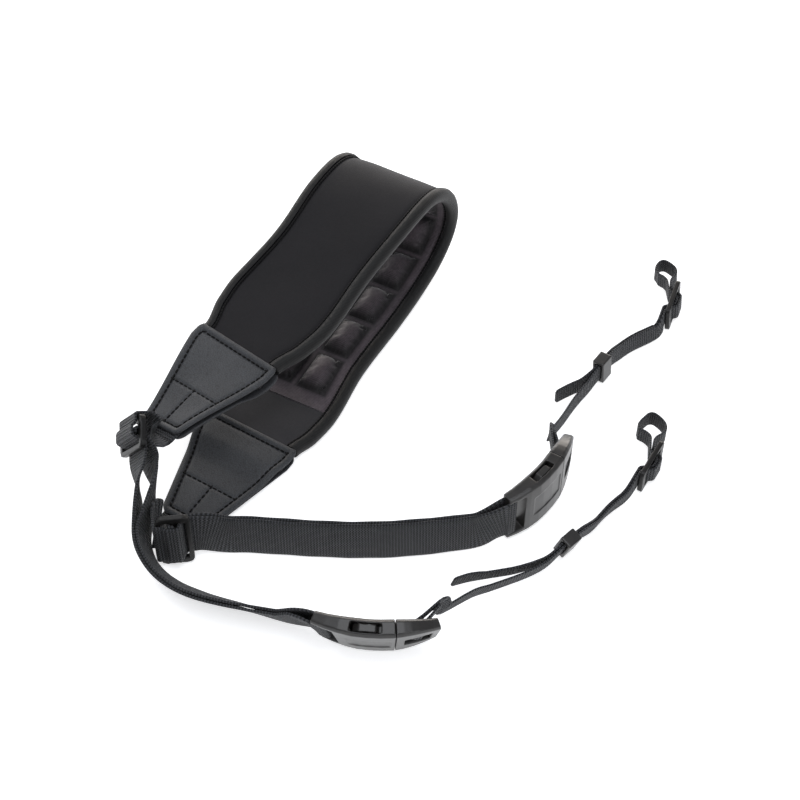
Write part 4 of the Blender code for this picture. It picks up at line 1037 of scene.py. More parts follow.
looks = {
    "wide": webbing_material("wide_webbing", WIDE_WEBBING),
    "narrow": webbing_material("narrow_webbing", NARROW_WEBBING),
    "outer": knit_material("outer_cloth", 0.0035, 0.010, (1.04, 0.94, 1.16), 0.55 * MM, 0.88, 0.10),
    "end": knit_material("end_cloth", 0.011, 0.028, (1.0, 0.96, 1.12), 0.6 * MM, 0.8, 0.2),
    # The inner cloth carries painted shade at the foot of its air cells and painted light on their
    # tops.
    "inner": knit_material("inner_cloth", 0.005, 0.130, (1.17, 0.93, 1.07), 0.9 * MM, 0.6, 0.3,
                           painted_cell_shade=True),
    "tape": tape_material("edge_tape"),
    "leather": leather_material("pebbled_leather"),
    "plastic": plastic_material("buckle_plastic", 0.5, 0.032),
    # The sliders' plastic is matter than the buckles' and its base colour is four times darker: partly
    # a matte plastic, partly painted shade.
    "slider": plastic_material("slider_plastic_with_painted_shade", 0.3, 0.008),
    "thread": thread_material("sewing_thread"),
}
print("materials", sorted(looks))

# %% [markdown]
# ## Meshes from rings
#
# Every strap, tape and patch is a tube: a ring of points repeated along a line and closed at
# both ends. One helper turns such a grid of points into a mesh with its UV map.

# %% A tube from rings


def tube(name, rings, across, along, look):
    """A closed mesh through rings of points, with metres across and along as its UV map."""
    count, size = rings.shape[:2]
    faces = []
    for i in range(count - 1):
        for j in range(size):
            k = (j + 1) % size
            faces.append((i * size + j, i * size + k, (i + 1) * size + k, (i + 1) * size + j))
    faces.append(tuple(range(size))[::-1])
    faces.append(tuple(range((count - 1) * size, count * size)))
    mesh = bpy.data.meshes.new(name)
    mesh.from_pydata(rings.reshape(-1, 3).tolist(), [], faces)
    weave = mesh.uv_layers.new(name="weave")
    places = np.stack([across.reshape(-1), along.reshape(-1)], -1)
    corners = np.zeros(len(mesh.loops), dtype=np.int32)
    mesh.loops.foreach_get("vertex_index", corners)
    weave.data.foreach_set("uv", places[corners].ravel().astype(np.float32))
    mesh.shade_smooth()
    mesh.set_sharp_from_angle(angle=math.radians(50))
    mesh.materials.append(look)
    piece = bpy.data.objects.new(name, mesh)
    bpy.context.scene.collection.objects.link(piece)
    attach(piece, "root")
    return piece


def evenly_many(start, end, step):
    return np.linspace(start, end, max(2, int(math.ceil((end - start) / step)) + 1))


# %% [markdown]
# ## The pad's foam shell
#
# The shell is one long ring profile. Its faces swell a little in the middle and dip where the
# edge tape is sewn down, and slow waves along it keep the foam from looking like a board.

# %% The foam shell
SEAM_DIP = 0.9 * MM
CROWN = 0.35 * MM
ACROSS_STEPS = 40


def soft_wave(s, w, size):
    """A slow, fixed unevenness of cloth over foam."""
    return size * (np.sin(s * 71 + w * 40) * 0.5 + np.sin(s * 143 - w * 95 + 1.3) * 0.3
                   + np.sin(s * 37 + w * 180 + 0.7) * 0.2)


def foam_shell():
    start = PAD_START - PATCH_OVERLAP
    end = PAD_END + PATCH_OVERLAP
    s = evenly_many(start, end, 2.5 * MM)
    edges = np.array([pad_edges(value, SHELL_INSET) for value in s])
    share = (1 - np.cos(np.linspace(0, math.pi, ACROSS_STEPS))) / 2
    w = edges[:, :1] + (edges[:, 1:] - edges[:, :1]) * share
    from_edge = np.minimum(w - edges[:, :1], edges[:, 1:] - w)
    reach = BINDING_WIDTH - SHELL_INSET
    dip = np.exp(-((from_edge - reach) / (1.3 * MM)) ** 2) * SEAM_DIP
    open_face = np.clip((from_edge - reach) / (14 * MM), 0, 1)
    out_of_patch = np.clip(np.minimum(s - PAD_START, PAD_END - s) / (8 * MM), 0, 1)[:, None]
    swell = open_face * (2 - open_face) * CROWN + soft_wave(s[:, None], w, 0.3 * MM) * open_face
    outer = -SHELL_HALF - (swell - dip) * out_of_patch
    round_off = np.sqrt(np.clip(from_edge / (1.0 * MM), 0.02, 1))
    middle = 0.0
    outer = middle + (outer - middle) * round_off
    inner = SHELL_HALF * round_off
    rings_w = np.concatenate([w, w[:, ::-1]], axis=1)
    rings_n = np.concatenate([outer, inner[:, ::-1]], axis=1)
    rings = pad.grid(s, rings_w, rings_n)
    along = np.repeat(s[:, None], rings_w.shape[1], axis=1)
    piece = tube("foam_shell", rings, rings_w, along, looks["outer"])
    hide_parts("pad_shell")
    return piece


shell = foam_shell()
print("foam shell", len(shell.data.polygons), "faces")

# %% [markdown]
# ## One air cell, blown up
#
# An air cell is two skins welded round a rectangle and filled with air, so its cloth swells
# and puckers into the corners. A short cloth simulation does the same: a flat square sewn down
# round its edge, a little too large for its frame, with air pressure under it. It is made ten
# times larger than life, where Blender's cloth is steadier, and its heights are kept.

# %% Blow up a cell
CELL_MESH = 26
CELL_SPARE = 0.10
CELL_PRESSURE = 5.0
CELL_FRAMES = 24
CELL_FULLNESS = 0.6        # below 1 it makes the pillow's sides steeper


def blown_cell(width, length, seed):
    """Heights over a square grid, from 0 to 1, of a cell with this width and length."""
    scale = 10.0
    rng = np.random.default_rng(seed)
    ticks = np.linspace(-0.5, 0.5, CELL_MESH)
    points = [(x * width * scale, y * length * scale, rng.uniform(0, 0.002))
              for y in ticks for x in ticks]
    faces = []
    for row in range(CELL_MESH - 1):
        for column in range(CELL_MESH - 1):
            corner = row * CELL_MESH + column
            faces.append((corner, corner + 1, corner + CELL_MESH + 1, corner + CELL_MESH))
    mesh = bpy.data.meshes.new("cell")
    mesh.from_pydata(points, [], faces)
    cell = bpy.data.objects.new("cell", mesh)
    bpy.context.scene.collection.objects.link(cell)
    seam = cell.vertex_groups.new(name="seam")
    rim = [row * CELL_MESH + column for row in range(CELL_MESH) for column in range(CELL_MESH)
           if min(row, column) == 0 or max(row, column) == CELL_MESH - 1]
    seam.add(rim, 1.0, "REPLACE")
    cloth = cell.modifiers.new("air", "CLOTH")
    cloth.settings.vertex_group_mass = "seam"
    cloth.settings.quality = 8
    cloth.settings.use_pressure = True
    cloth.settings.uniform_pressure_force = CELL_PRESSURE
    cloth.settings.effector_weights.gravity = 0.0
    cloth.settings.shrink_min = -CELL_SPARE
    cloth.settings.bending_stiffness = 0.2
    scene = bpy.context.scene
    cloth.point_cache.frame_start = 1
    cloth.point_cache.frame_end = CELL_FRAMES
    for number in range(1, CELL_FRAMES + 1):
        scene.frame_set(number)
    depsgraph = bpy.context.evaluated_depsgraph_get()
    result = cell.evaluated_get(depsgraph)
    heights = np.array([vertex.co.z for vertex in result.data.vertices])
    bpy.data.objects.remove(cell, do_unlink=True)
    bpy.data.meshes.remove(mesh)
    scene.frame_set(1)
    heights = np.clip(heights, 0, None).reshape(CELL_MESH, CELL_MESH)
    print("cell", seed, "rose", round(float(heights.max() / scale / MM), 2), "mm")
    return (heights / max(heights.max(), 1e-6)) ** CELL_FULLNESS


cells = [blown_cell(22 * MM, 24.5 * MM, seed) for seed in (3, 8)]

# %% [markdown]
# ## The inner face
#
# Two columns of cells stand on the inner skin. Each borrows one of the blown cells, turned
# round so that no two neighbours are the same. A welded channel runs round the whole field.

# %% The air-cell panel
WELD_DIP = 0.5 * MM
CELL_RISE = 6.0 * MM
# The painted shade at the foot of each cell reaches this far.
CELL_SHADE = 1.6 * MM      # how far the dark foot of a cell reaches


def cell_height(cells, row, side, x, y):
    """Height share inside a cell, where x and y run from -1 to 1."""
    heights = cells[(row + side) % len(cells)]
    if (row * 2 + side) % 4 > 1:
        heights = heights[::-1]
    if (row + side) % 3 == 1:
        heights = heights[:, ::-1]
    u = (np.clip(x, -1, 1) + 1) / 2 * (CELL_MESH - 1)
    v = (np.clip(y, -1, 1) + 1) / 2 * (CELL_MESH - 1)
    i = np.clip(u.astype(int), 0, CELL_MESH - 2)
    j = np.clip(v.astype(int), 0, CELL_MESH - 2)
    fu, fv = u - i, v - j
    return (heights[j, i] * (1 - fu) * (1 - fv) + heights[j, i + 1] * fu * (1 - fv)
            + heights[j + 1, i] * (1 - fu) * fv + heights[j + 1, i + 1] * fu * fv)


def cell_panel():
    start, end = cell_zone()
    first = cell_field()[0]
    s = evenly_many(start + GAP, end - GAP, 0.9 * MM)
    edges = np.array([pad_edges(value, SHELL_INSET + PANEL_INSET) for value in s])
    share = np.linspace(0, 1, 90)
    w = edges[:, :1] + (edges[:, 1:] - edges[:, :1]) * share
    top = np.full(w.shape, PANEL_TOP)
    # swell maps the inner cloth's colour: 0.9 on the plain border, lower where painted shade darkens
    # the foot of each cell.
    swell = np.full(w.shape, 0.9)
    width = (edges[:, 1] - edges[:, 0] - 2 * CELL_BORDER - CELL_GAP) / 2
    middle = (edges[:, 0] + edges[:, 1]) / 2
    for row in range(cell_rows()):
        middle_s = first + (row + 0.5) * CELL_PITCH
        y = (s - middle_s) / ((CELL_PITCH - CELL_GAP) / 2)
        for side in (0, 1):
            centre = middle + (side * 2 - 1) * (CELL_GAP + width) / 2
            x = (w - centre[:, None]) / (width[:, None] / 2)
            inside = (np.abs(x) < 1) & (np.abs(y)[:, None] < 1)
            rise = cell_height(cells, row, side, x, np.repeat(y[:, None], w.shape[1], axis=1))
            top = np.where(inside, PANEL_TOP + CELL_RISE * rise, top)
            past = np.maximum(np.abs(w - centre[:, None]) - width[:, None] / 2,
                              np.abs(s - middle_s)[:, None] - (CELL_PITCH - CELL_GAP) / 2)
            # Painted shade darkens the cloth at the foot of each cell, and painted light brightens the
            # cell's top as it rises.
            swell = np.minimum(swell, 0.9 * (1 - np.exp(-(past / CELL_SHADE) ** 2)))
            swell = np.where(inside, np.clip(rise * 1.5 - 0.45, 0.0, 1.0), swell)
    inset = CELL_BORDER * 0.45
    frame_w = np.minimum(np.abs(w - edges[:, :1] - inset), np.abs(edges[:, 1:] - inset - w))
    top -= WELD_DIP * np.exp(-(frame_w / (0.7 * MM)) ** 2)
    top += soft_wave(s[:, None], w, 0.15 * MM)
    bottom = np.full(w.shape, PANEL_BOTTOM)
    rings_w = np.concatenate([w, w[:, ::-1]], axis=1)
    rings_n = np.concatenate([bottom, top[:, ::-1]], axis=1)
    rings = pad.grid(s, rings_w, rings_n)
    along = np.repeat(s[:, None], rings_w.shape[1], axis=1)
    piece = tube("air_cells", rings, rings_w, along, looks["inner"])
    # The swell UV map carries this painted shade and painted light to the inner cloth's colour.
    painted_shade_map = np.concatenate([swell, swell[:, ::-1]], axis=1).reshape(-1)
    corners = np.zeros(len(piece.data.loops), dtype=np.int32)
    piece.data.loops.foreach_get("vertex_index", corners)
    values = np.zeros((len(corners), 2), dtype=np.float32)
    values[:, 0] = painted_shade_map[corners]
    piece.data.uv_layers.new(name="swell").data.foreach_set("uv", values.ravel())
    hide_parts("air_cell_panel")
    return piece


air_cells = cell_panel()
print("air cells", len(air_cells.data.polygons), "faces")

# %% The plain cloth at both ends of the cells


def end_cloth(side):
    first, last = cell_zone()
    low, high = ((PAD_START - PATCH_OVERLAP, first - GAP) if side == "b"
                 else (last + GAP, PAD_END + PATCH_OVERLAP))
    s = evenly_many(low, high, 2 * MM)
    edges = np.array([pad_edges(value, SHELL_INSET + PANEL_INSET) for value in s])
    w = edges[:, :1] + (edges[:, 1:] - edges[:, :1]) * np.linspace(0, 1, 30)
    from_patch = np.minimum(np.abs(s - PAD_START), np.abs(PAD_END - s))[:, None]
    inside = np.clip((from_patch - 2 * MM) / (6 * MM), 0, 1)
    inside = inside * ((s > PAD_START) & (s < PAD_END))[:, None]
    top = PANEL_TOP + soft_wave(s[:, None] * 1.6, w * 1.4, 0.35 * MM) * inside
    bottom = np.full(w.shape, PANEL_BOTTOM)
    rings_w = np.concatenate([w, w[:, ::-1]], axis=1)
    rings_n = np.concatenate([bottom, top[:, ::-1]], axis=1)
    rings = pad.grid(s, rings_w, rings_n)
    along = np.repeat(s[:, None], rings_w.shape[1], axis=1)
    piece = tube("end_cloth_" + side, rings, rings_w, along, looks["end"])
    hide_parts("end_panel_" + side)
    high - low
    return piece


for side in "ab":
    end_cloth(side)

# %% [markdown]
# ## Edge tape
#
# Tape is folded round both long edges and sewn through. Its profile is a hairpin: two flat
# lips and a round back, thinner at the lips where the needle pulls them down.

# %% The edge tape


def tape_profile():
    """The hairpin's middle line as distances in from the edge and heights out."""
    half = (PANEL_TOP + SHELL_HALF + 2 * GAP + BINDING_THICKNESS) / 2
    centre = (PANEL_TOP - SHELL_HALF) / 2
    back = half * 0.85
    lips = np.linspace(BINDING_WIDTH - 0.6 * MM, back + BINDING_THICKNESS / 2, 6)
    turn = np.linspace(-math.pi / 2, math.pi / 2, 13)[1:-1]
    inward = np.concatenate([lips, back + BINDING_THICKNESS / 2 - back * np.cos(turn), lips[::-1]])
    height = np.concatenate([np.full(6, -half), half * np.sin(turn), np.full(6, half)])
    return inward, centre + height


def edge_tape(side):
    sign = 1 if side == "left" else -1
    inward, height = tape_profile()
    slope_in = np.gradient(inward)
    slope_out = np.gradient(height)
    length = np.hypot(slope_in, slope_out)
    fold = np.concatenate([[0], np.cumsum(np.hypot(np.diff(inward), np.diff(height)))])
    lip = np.minimum(fold, fold[-1] - fold)
    half = BINDING_THICKNESS / 2 * np.clip(0.35 + lip / (2.2 * MM), 0, 1)
    normal_in, normal_out = slope_out / length * half, -slope_in / length * half
    ring_in = np.concatenate([inward - normal_in, (inward + normal_in)[::-1]])
    ring_out = np.concatenate([height - normal_out, (height + normal_out)[::-1]])
    ring_fold = np.concatenate([fold, fold[::-1]])
    s = evenly_many(PAD_START + GAP, PAD_END - GAP, 2.2 * MM)
    edge = np.array([abs(pad_edges(value)[1 if side == "left" else 0]) for value in s])
    rings_w = sign * (edge[:, None] - ring_in)
    pull = 0.12 * MM * np.sin(s * 2 * math.pi / (9 * MM))[:, None] * (ring_fold < 4 * MM)
    rings_n = np.repeat(ring_out[None], len(s), axis=0) + pull * 0.5
    if sign < 0:
        rings_w, rings_n, ring_fold = rings_w[:, ::-1], rings_n[:, ::-1], ring_fold[::-1]
    rings = pad.grid(s, rings_w, rings_n)
    across = np.repeat(ring_fold[None], len(s), axis=0)
    along = np.repeat(s[:, None], rings_w.shape[1], axis=1)
    piece = tube("edge_tape_" + side, rings, across, along, looks["tape"])
    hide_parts("binding_" + side)
    return piece


for side in ("left", "right"):
    tape = edge_tape(side)
    print(tape.name, len(tape.data.polygons), "faces")

# %% [markdown]
# ## Leather ends
#
# Two patches sandwich each end of the pad and the webbing sewn into it. Their edges are
# rolled, so they stand a little thicker than the field, and the sewing pulls a dip 3 mm in.

# %% The leather patches
SEW_INSET = 4.2 * MM
ROLL = 0.65 * MM
SEW_DIP = 0.6 * MM
CROSS_SEAM = {"a": 0.57, "b": 0.62}


def patch_level(side, face, reach):
    if face == "inner":
        return inner_patch_level(side, reach)
    return -SHELL_HALF - GAP - LEATHER_THICKNESS


def tucked_edges(side, face, reach):
    """The w of both edges of the patch, drawn in where the leather lies underneath."""
    right, left = patch_edges(side, reach)
    tuck = PATCH_TUCK if side == "b" and face == "outer" else 0.0
    return right + tuck, left - tuck


def cross_seam_reach(side):
    return CROSS_SEAM[side] * PATCH_LENGTH[side]


def leather_patch(side, face):
    sign = -1 if side == "b" else 1
    base = PAD_START if side == "b" else PAD_END
    tip_reach = PATCH_LENGTH[side]
    reach = np.concatenate([[0, 0.15 * MM, 0.4 * MM, 0.8 * MM], np.linspace(
        1.3 * MM, tip_reach - 1.3 * MM, 90), tip_reach - np.array([0.8, 0.4, 0.15, 0]) * MM])
    edges = np.array([tucked_edges(side, face, value) for value in reach])
    share = np.concatenate([[0, 0.0025, 0.0075, 0.015], np.linspace(0.025, 0.975, 70),
                            [0.985, 0.9925, 0.9975, 1]])
    w = edges[:, :1] + (edges[:, 1:] - edges[:, :1]) * share
    edge = np.minimum(np.minimum(w - edges[:, :1], edges[:, 1:] - w),
                      np.minimum(reach, tip_reach - reach)[:, None])
    seam = np.exp(-((edge - SEW_INSET) / (0.95 * MM)) ** 2)
    cross_place = (reach[:, None] - cross_seam_reach(side)) / (1.0 * MM)
    cross = np.exp(-cross_place ** 2) * (edge > SEW_INSET)
    beyond = (reach[:, None] > cross_seam_reach(side)) & (edge > SEW_INSET)
    centre = np.exp(-(w / (1.0 * MM)) ** 2) * beyond
    roll = np.clip(1 - ((edge - SEW_INSET * 0.5) / (SEW_INSET * 0.5)) ** 2, 0, 1) * ROLL
    field = (1 - np.exp(-np.clip(edge - SEW_INSET, 0, None) / (2.5 * MM))) * 0.35 * MM
    puff = roll + field - SEW_DIP * np.maximum(np.maximum(seam, cross), centre)
    puff = puff + soft_wave(reach[:, None] * 1.3, w, 0.18 * MM) * np.clip(edge / (6 * MM), 0, 1)
    soft_edge = np.sqrt(np.clip(1 - (1 - np.clip(edge / (0.8 * MM), 0, 1)) ** 2, 0.0, 1))
    level = np.array([patch_level(side, face, value) for value in reach])[:, None] + 0 * w
    half_thick = LEATHER_THICKNESS / 2
    middle = level + half_thick
    shown = half_thick * (0.15 + 0.85 * soft_edge) + puff * soft_edge
    hidden = half_thick * (0.15 + 0.85 * soft_edge)
    if face == "outer":
        lower, upper = middle - shown, middle + hidden
    else:
        lower, upper = middle - hidden, middle + shown
    if side == "b" and face == "outer":
        lower = np.maximum(lower, level)
    rings_w = np.concatenate([w, w[:, ::-1]], axis=1)
    rings_n = np.concatenate([lower, upper[:, ::-1]], axis=1)
    rings = pad.grid(base + sign * reach, rings_w, rings_n)
    along = np.repeat(reach[:, None], rings_w.shape[1], axis=1)
    if sign < 0:
        rings, rings_w = rings[:, ::-1], rings_w[:, ::-1]
    name = "leather_%s_%s" % (face, side)
    piece = tube(name, rings, rings_w, along, looks["leather"])
    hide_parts("patch_%s_%s" % (face, side))
    return piece


for side in "ab":
    for face in ("outer", "inner"):
        leather = leather_patch(side, face)
print("leather", len(leather.data.polygons), "faces each")

# %% [markdown]
# ## Straps
#
# A strap is a rounded strip swept along its path. The path goes through sliders, round bars
# and back, as the real webbing does, and the strip leans and twists with its line.

# %% Sweep a strap
STRAP_STEP = 1.6 * MM


def strap_profile(width, thickness):
    """Rounded section as (across, out) pairs, and the across value for the weave."""
    half = width / 2 - thickness / 2
    flat = np.linspace(-half, half, 11)
    turn = np.linspace(-math.pi / 2, math.pi / 2, 6)[1:-1]
    right_w = half + np.cos(turn) * thickness / 2
    right_n = np.sin(turn) * thickness / 2
    w = np.concatenate([flat, right_w, flat[::-1], -right_w])
    n = np.concatenate([np.full(11, -thickness / 2), right_n, np.full(11, thickness / 2),
                        -right_n])
    return w, n


def follow(line, path, step):
    """Middles and across directions along a path in s and n."""
    sections = []
    for i, point in enumerate(path):
        if i:
            before = path[i - 1]
            count = max(1, int(math.ceil(np.linalg.norm(point - before) / step)))
            for j in range(1, count):
                s, n = before + (point - before) * j / count
                sections.append((line.place(s, 0, n), line.at(s)[2]))
        sections.append((line.place(point[0], 0, point[1]), line.at(point[0])[2]))
    return sections


def strap(name, sections, width, thickness, look):
    """One strap through a list of middles and across directions, and its length."""
    middles = np.array([section[0] for section in sections]) + anchor
    steps = np.linalg.norm(np.diff(middles, axis=0), axis=1)
    keep = np.concatenate([[True], steps > 0.02 * MM])
    middles = middles[keep]
    across = np.array([section[1] for section in sections])[keep]
    along = np.gradient(middles, axis=0)
    along /= np.linalg.norm(along, axis=1)[:, None]
    across = across - along * (across * along).sum(axis=1)[:, None]
    across /= np.linalg.norm(across, axis=1)[:, None]
    out = np.cross(along, across)
    length = np.concatenate([[0], np.cumsum(np.linalg.norm(np.diff(middles, axis=0), axis=1))])
    w, n = strap_profile(width, thickness)
    wobble = 1 + 0.012 * np.sin(length * 310)[:, None] + 0.008 * np.sin(length * 97 + 1)[:, None]
    from_end = np.minimum(length, length[-1] - length)
    wobble *= 1 - 0.25 * (1 - np.clip(from_end / (1.2 * MM), 0, 1))[:, None] ** 2
    rings_w = w * wobble
    rings = middles[:, None] + across[:, None] * rings_w[..., None] + out[:, None] * n[:, None]
    places = np.repeat(length[:, None], len(w), axis=1)
    piece = tube(name, rings, rings_w, places, look)
    return piece, float(length[-1])


def wide_sections(side, line, buckle_start):
    sign = -1 if side == "b" else 1
    base = PAD_START if side == "b" else PAD_END
    level = web_level()
    start = base + sign * (PATCH_OVERLAP + 2 * MM)
    patch_tip = base + sign * (PATCH_LENGTH[side] + PAST_PATCH)
    sections = []
    for share in np.linspace(0, 1, 25):
        spot = start + (patch_tip - start) * share
        sections.append((pad.place(spot, 0, level), pad.at(spot)[2] * sign))
    path = rounded(wide_path(side, buckle_start))
    body = follow(line, path, STRAP_STEP)
    lead = lead_in(sections[-1][0], pad.at(patch_tip)[1] * sign, sections[-1][1],
                   body[0][0], line.at(path[0][0])[3], body[0][1], 24)
    if np.dot(sections[-1][1], body[0][1]) < 0:
        sections = [(point, -across) for point, across in sections]
    return sections + lead + body


sides = {}
for side in "ab":
    line, buckle_start = side_line(pad, side)
    narrow, keeper_start, slider_start = narrow_line(line, side, buckle_start + BUCKLE_LENGTH)
    sides[side] = (line, buckle_start, narrow, keeper_start, slider_start)
    piece, length = strap("wide_strap_" + side, wide_sections(side, line, buckle_start),
                          WIDE_WEBBING, WIDE_THICKNESS, looks["wide"])
    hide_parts("webbing_wide_" + side)
    "slider_" + side
    "buckle_socket_" + side
    print(piece.name, round(length, 3), "m,", len(piece.data.polygons), "faces")
    path = rounded(narrow_path(side, keeper_start, slider_start))
    piece, length = strap("narrow_strap_" + side, follow(narrow, path, 0.5 * STRAP_STEP),
                          NARROW_WEBBING, NARROW_THICKNESS, looks["narrow"])
    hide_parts("webbing_narrow_" + side)
    "keeper_" + side
    "loop_slider_" + side
    print(piece.name, round(length, 3), "m,", len(piece.data.polygons), "faces")

# %% [markdown]
# ## Moulded pieces
#
# A mould never leaves a knife edge. Each plastic piece is copied from its solid, rebuilt as
# small even voxels and smoothed, which rounds every edge alike, even round the slots.

# %% Round the moulded pieces


def moulded(node, voxel, rounds):
    mesh = frame["nodes"][node].data.copy()
    piece = bpy.data.objects.new("moulded_" + node, mesh)
    bpy.context.scene.collection.objects.link(piece)
    weld = piece.modifiers.new("weld", "WELD")
    weld.merge_threshold = 0.00001
    small = piece.modifiers.new("voxels", "REMESH")
    small.mode = "VOXEL"
    small.voxel_size = voxel
    small.use_smooth_shade = True
    smooth = piece.modifiers.new("round", "SMOOTH")
    smooth.factor = 0.5
    smooth.iterations = rounds
    depsgraph = bpy.context.evaluated_depsgraph_get()
    result = bpy.data.meshes.new_from_object(piece.evaluated_get(depsgraph))
    piece.modifiers.clear()
    piece.data = result
    bpy.data.meshes.remove(mesh)
    result.materials.clear()
    # The sliders take the matter plastic whose darker colour is partly painted shade.
    result.materials.append(looks["plastic" if "buckle" in node or "keeper" in node else "slider"])
    result.shade_smooth()
    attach(piece, "root")
    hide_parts(node)
    return piece


for side in "ab":
    for node, voxel, rounds in (("buckle_socket_", 0.40 * MM, 3), ("buckle_plug_", 0.40 * MM, 3),
                                ("slider_", 0.38 * MM, 4), ("keeper_", 0.33 * MM, 3),
                                ("loop_slider_", 0.33 * MM, 4)):
        piece = moulded(node + side, voxel, rounds)
        print(piece.name, len(piece.data.polygons), "faces")

# %% [markdown]
# ## Stitches with Geometry Nodes
#
# A row of stitches is one small spool of thread placed again and again along a line. The node
# group resamples the line at the stitch pitch, turns a stitch along it at every point and
# makes the copies real. Its inputs are the pitch, the length and the thickness of a stitch.

# %% The stitch maker


def stitch_maker():
    group = bpy.data.node_groups.new("row_of_stitches", "GeometryNodeTree")
    for name, kind in (("Geometry", "NodeSocketGeometry"), ("Pitch", "NodeSocketFloat"),
                       ("Length", "NodeSocketFloat"), ("Thickness", "NodeSocketFloat"),
                       ("Thread", "NodeSocketMaterial")):
        group.interface.new_socket(name=name, in_out="INPUT", socket_type=kind)
    group.interface.new_socket(name="Geometry", in_out="OUTPUT", socket_type="NodeSocketGeometry")
    nodes = group.nodes
    link = group.links.new
    given = nodes.new("NodeGroupInput")
    curve = nodes.new("GeometryNodeMeshToCurve")
    spaced = nodes.new("GeometryNodeResampleCurve")
    spaced.mode = "LENGTH"
    tangent = nodes.new("GeometryNodeInputTangent")
    turned = nodes.new("FunctionNodeAlignRotationToVector")
    turned.axis = "Z"
    stitch = nodes.new("GeometryNodeMeshUVSphere")
    stitch.inputs["Segments"].default_value = 8
    stitch.inputs["Rings"].default_value = 6
    stitch.inputs["Radius"].default_value = 0.5
    size = nodes.new("ShaderNodeCombineXYZ")
    placed = nodes.new("GeometryNodeInstanceOnPoints")
    real = nodes.new("GeometryNodeRealizeInstances")
    painted = nodes.new("GeometryNodeSetMaterial")
    final = nodes.new("NodeGroupOutput")
    link(given.outputs["Geometry"], curve.inputs[0])
    link(curve.outputs[0], spaced.inputs["Curve"])
    link(given.outputs["Pitch"], spaced.inputs["Length"])
    link(tangent.outputs[0], turned.inputs["Vector"])
    for axis, name in (("X", "Thickness"), ("Y", "Thickness"), ("Z", "Length")):
        link(given.outputs[name], size.inputs[axis])
    link(spaced.outputs[0], placed.inputs["Points"])
    link(stitch.outputs["Mesh"], placed.inputs["Instance"])
    link(turned.outputs[0], placed.inputs["Rotation"])
    link(size.outputs[0], placed.inputs["Scale"])
    link(placed.outputs[0], real.inputs[0])
    link(real.outputs[0], painted.inputs["Geometry"])
    link(given.outputs["Thread"], painted.inputs["Material"])
    link(painted.outputs[0], final.inputs[0])
    return group


maker = stitch_maker()


def sew(name, rows, pitch, length, thickness):
    """Sew along rows of points, and keep the stitches as one plain mesh."""
    points = []
    edges = []
    for row in rows:
        first = len(points)
        points += [tuple(point) for point in row]
        edges += [(first + i, first + i + 1) for i in range(len(row) - 1)]
    mesh = bpy.data.meshes.new(name)
    mesh.from_pydata(points, edges, [])
    piece = bpy.data.objects.new(name, mesh)
    bpy.context.scene.collection.objects.link(piece)
    row_maker = piece.modifiers.new("stitches", "NODES")
    row_maker.node_group = maker
    values = {"Pitch": pitch, "Length": length, "Thickness": thickness, "Thread": looks["thread"]}
    for item in maker.interface.items_tree:
        if item.in_out == "INPUT" and item.name in values:
            row_maker[item.identifier] = values[item.name]
    depsgraph = bpy.context.evaluated_depsgraph_get()
    result = bpy.data.meshes.new_from_object(piece.evaluated_get(depsgraph))
    piece.modifiers.clear()
    piece.data = result
    bpy.data.meshes.remove(mesh)
    result.shade_smooth()
    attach(piece, "root")
    print(name, len(result.polygons), "faces")
    return piece


# %% [markdown]
# ## Sewing the leather
#
# One row follows the patch's outline 3 mm in, one crosses it where the webbing is caught, and
# a short one runs down the middle from there, as on the real strap.

# %% Sew the patches
STITCH_PITCH = 3.1 * MM
STITCH_LENGTH = 2.8 * MM
STITCH_THICKNESS = 1.1 * MM


def patch_rows(side, face):
    """World points of the three rows on one patch."""
    sign = -1 if side == "b" else 1
    base = PAD_START if side == "b" else PAD_END
    inside = SEW_INSET
    last = PATCH_LENGTH[side] - inside

    def spot(reach, w):
        level = patch_level(side, face, reach)
        lift = LEATHER_THICKNESS - 0.2 * MM if face == "inner" else 0.2 * MM
        if side == "b" and face == "outer":
            lift = 0.35 * MM
        return pad.place(base + sign * reach, w, level + lift) + anchor

    reaches = np.linspace(inside, last, 40)
    edges = [tucked_edges(side, face, reach) for reach in reaches]
    left = [spot(reach, edge[1] - inside) for reach, edge in zip(reaches, edges)]
    right = [spot(reach, edge[0] + inside) for reach, edge in zip(reaches, edges)][::-1]
    start = [spot(inside, w) for w in np.linspace(edges[0][0] + inside, edges[0][1] - inside, 20)]
    tip_row = [spot(last, w) for w in np.linspace(edges[-1][1] - inside, edges[-1][0] + inside, 12)]
    cross_reach = cross_seam_reach(side)
    low, high = tucked_edges(side, face, cross_reach)
    crossing = [spot(cross_reach, w) for w in np.linspace(low + inside, high - inside, 20)]
    centre = [spot(reach, 0.0) for reach in np.linspace(cross_reach, last, 20)]
    return [start + left[1:] + tip_row[1:] + right[1:], crossing, centre]


for side in "ab":
    for face in ("outer", "inner"):
        sew("stitches_%s_%s" % (face, side), patch_rows(side, face), STITCH_PITCH, STITCH_LENGTH,
            STITCH_THICKNESS)

# %% [markdown]
# ## Sewing the narrow webbing and the pad
#
# The narrow webbing is sewn back on itself at the plug with a small box of tight stitches. A
# finer row holds the tape down on both faces of the pad.

# %% Sew the webbing and the tape


def tack_rows(side):
    line = sides[side][2]
    clear = NARROW_LAYER + NARROW_THICKNESS / 2
    start = SEWN_FOLD - 1.5 * MM
    end = 9 * MM
    half = NARROW_WEBBING / 2 - 1.6 * MM
    rows = []
    for w in (-half, 0.0, half):
        rows.append([line.place(s, w, clear) + anchor for s in np.linspace(end, start, 8)])
    for s in (start, start - 1.6 * MM):
        rows.append([line.place(s, w, clear) + anchor for w in np.linspace(-half, half, 8)])
    return rows


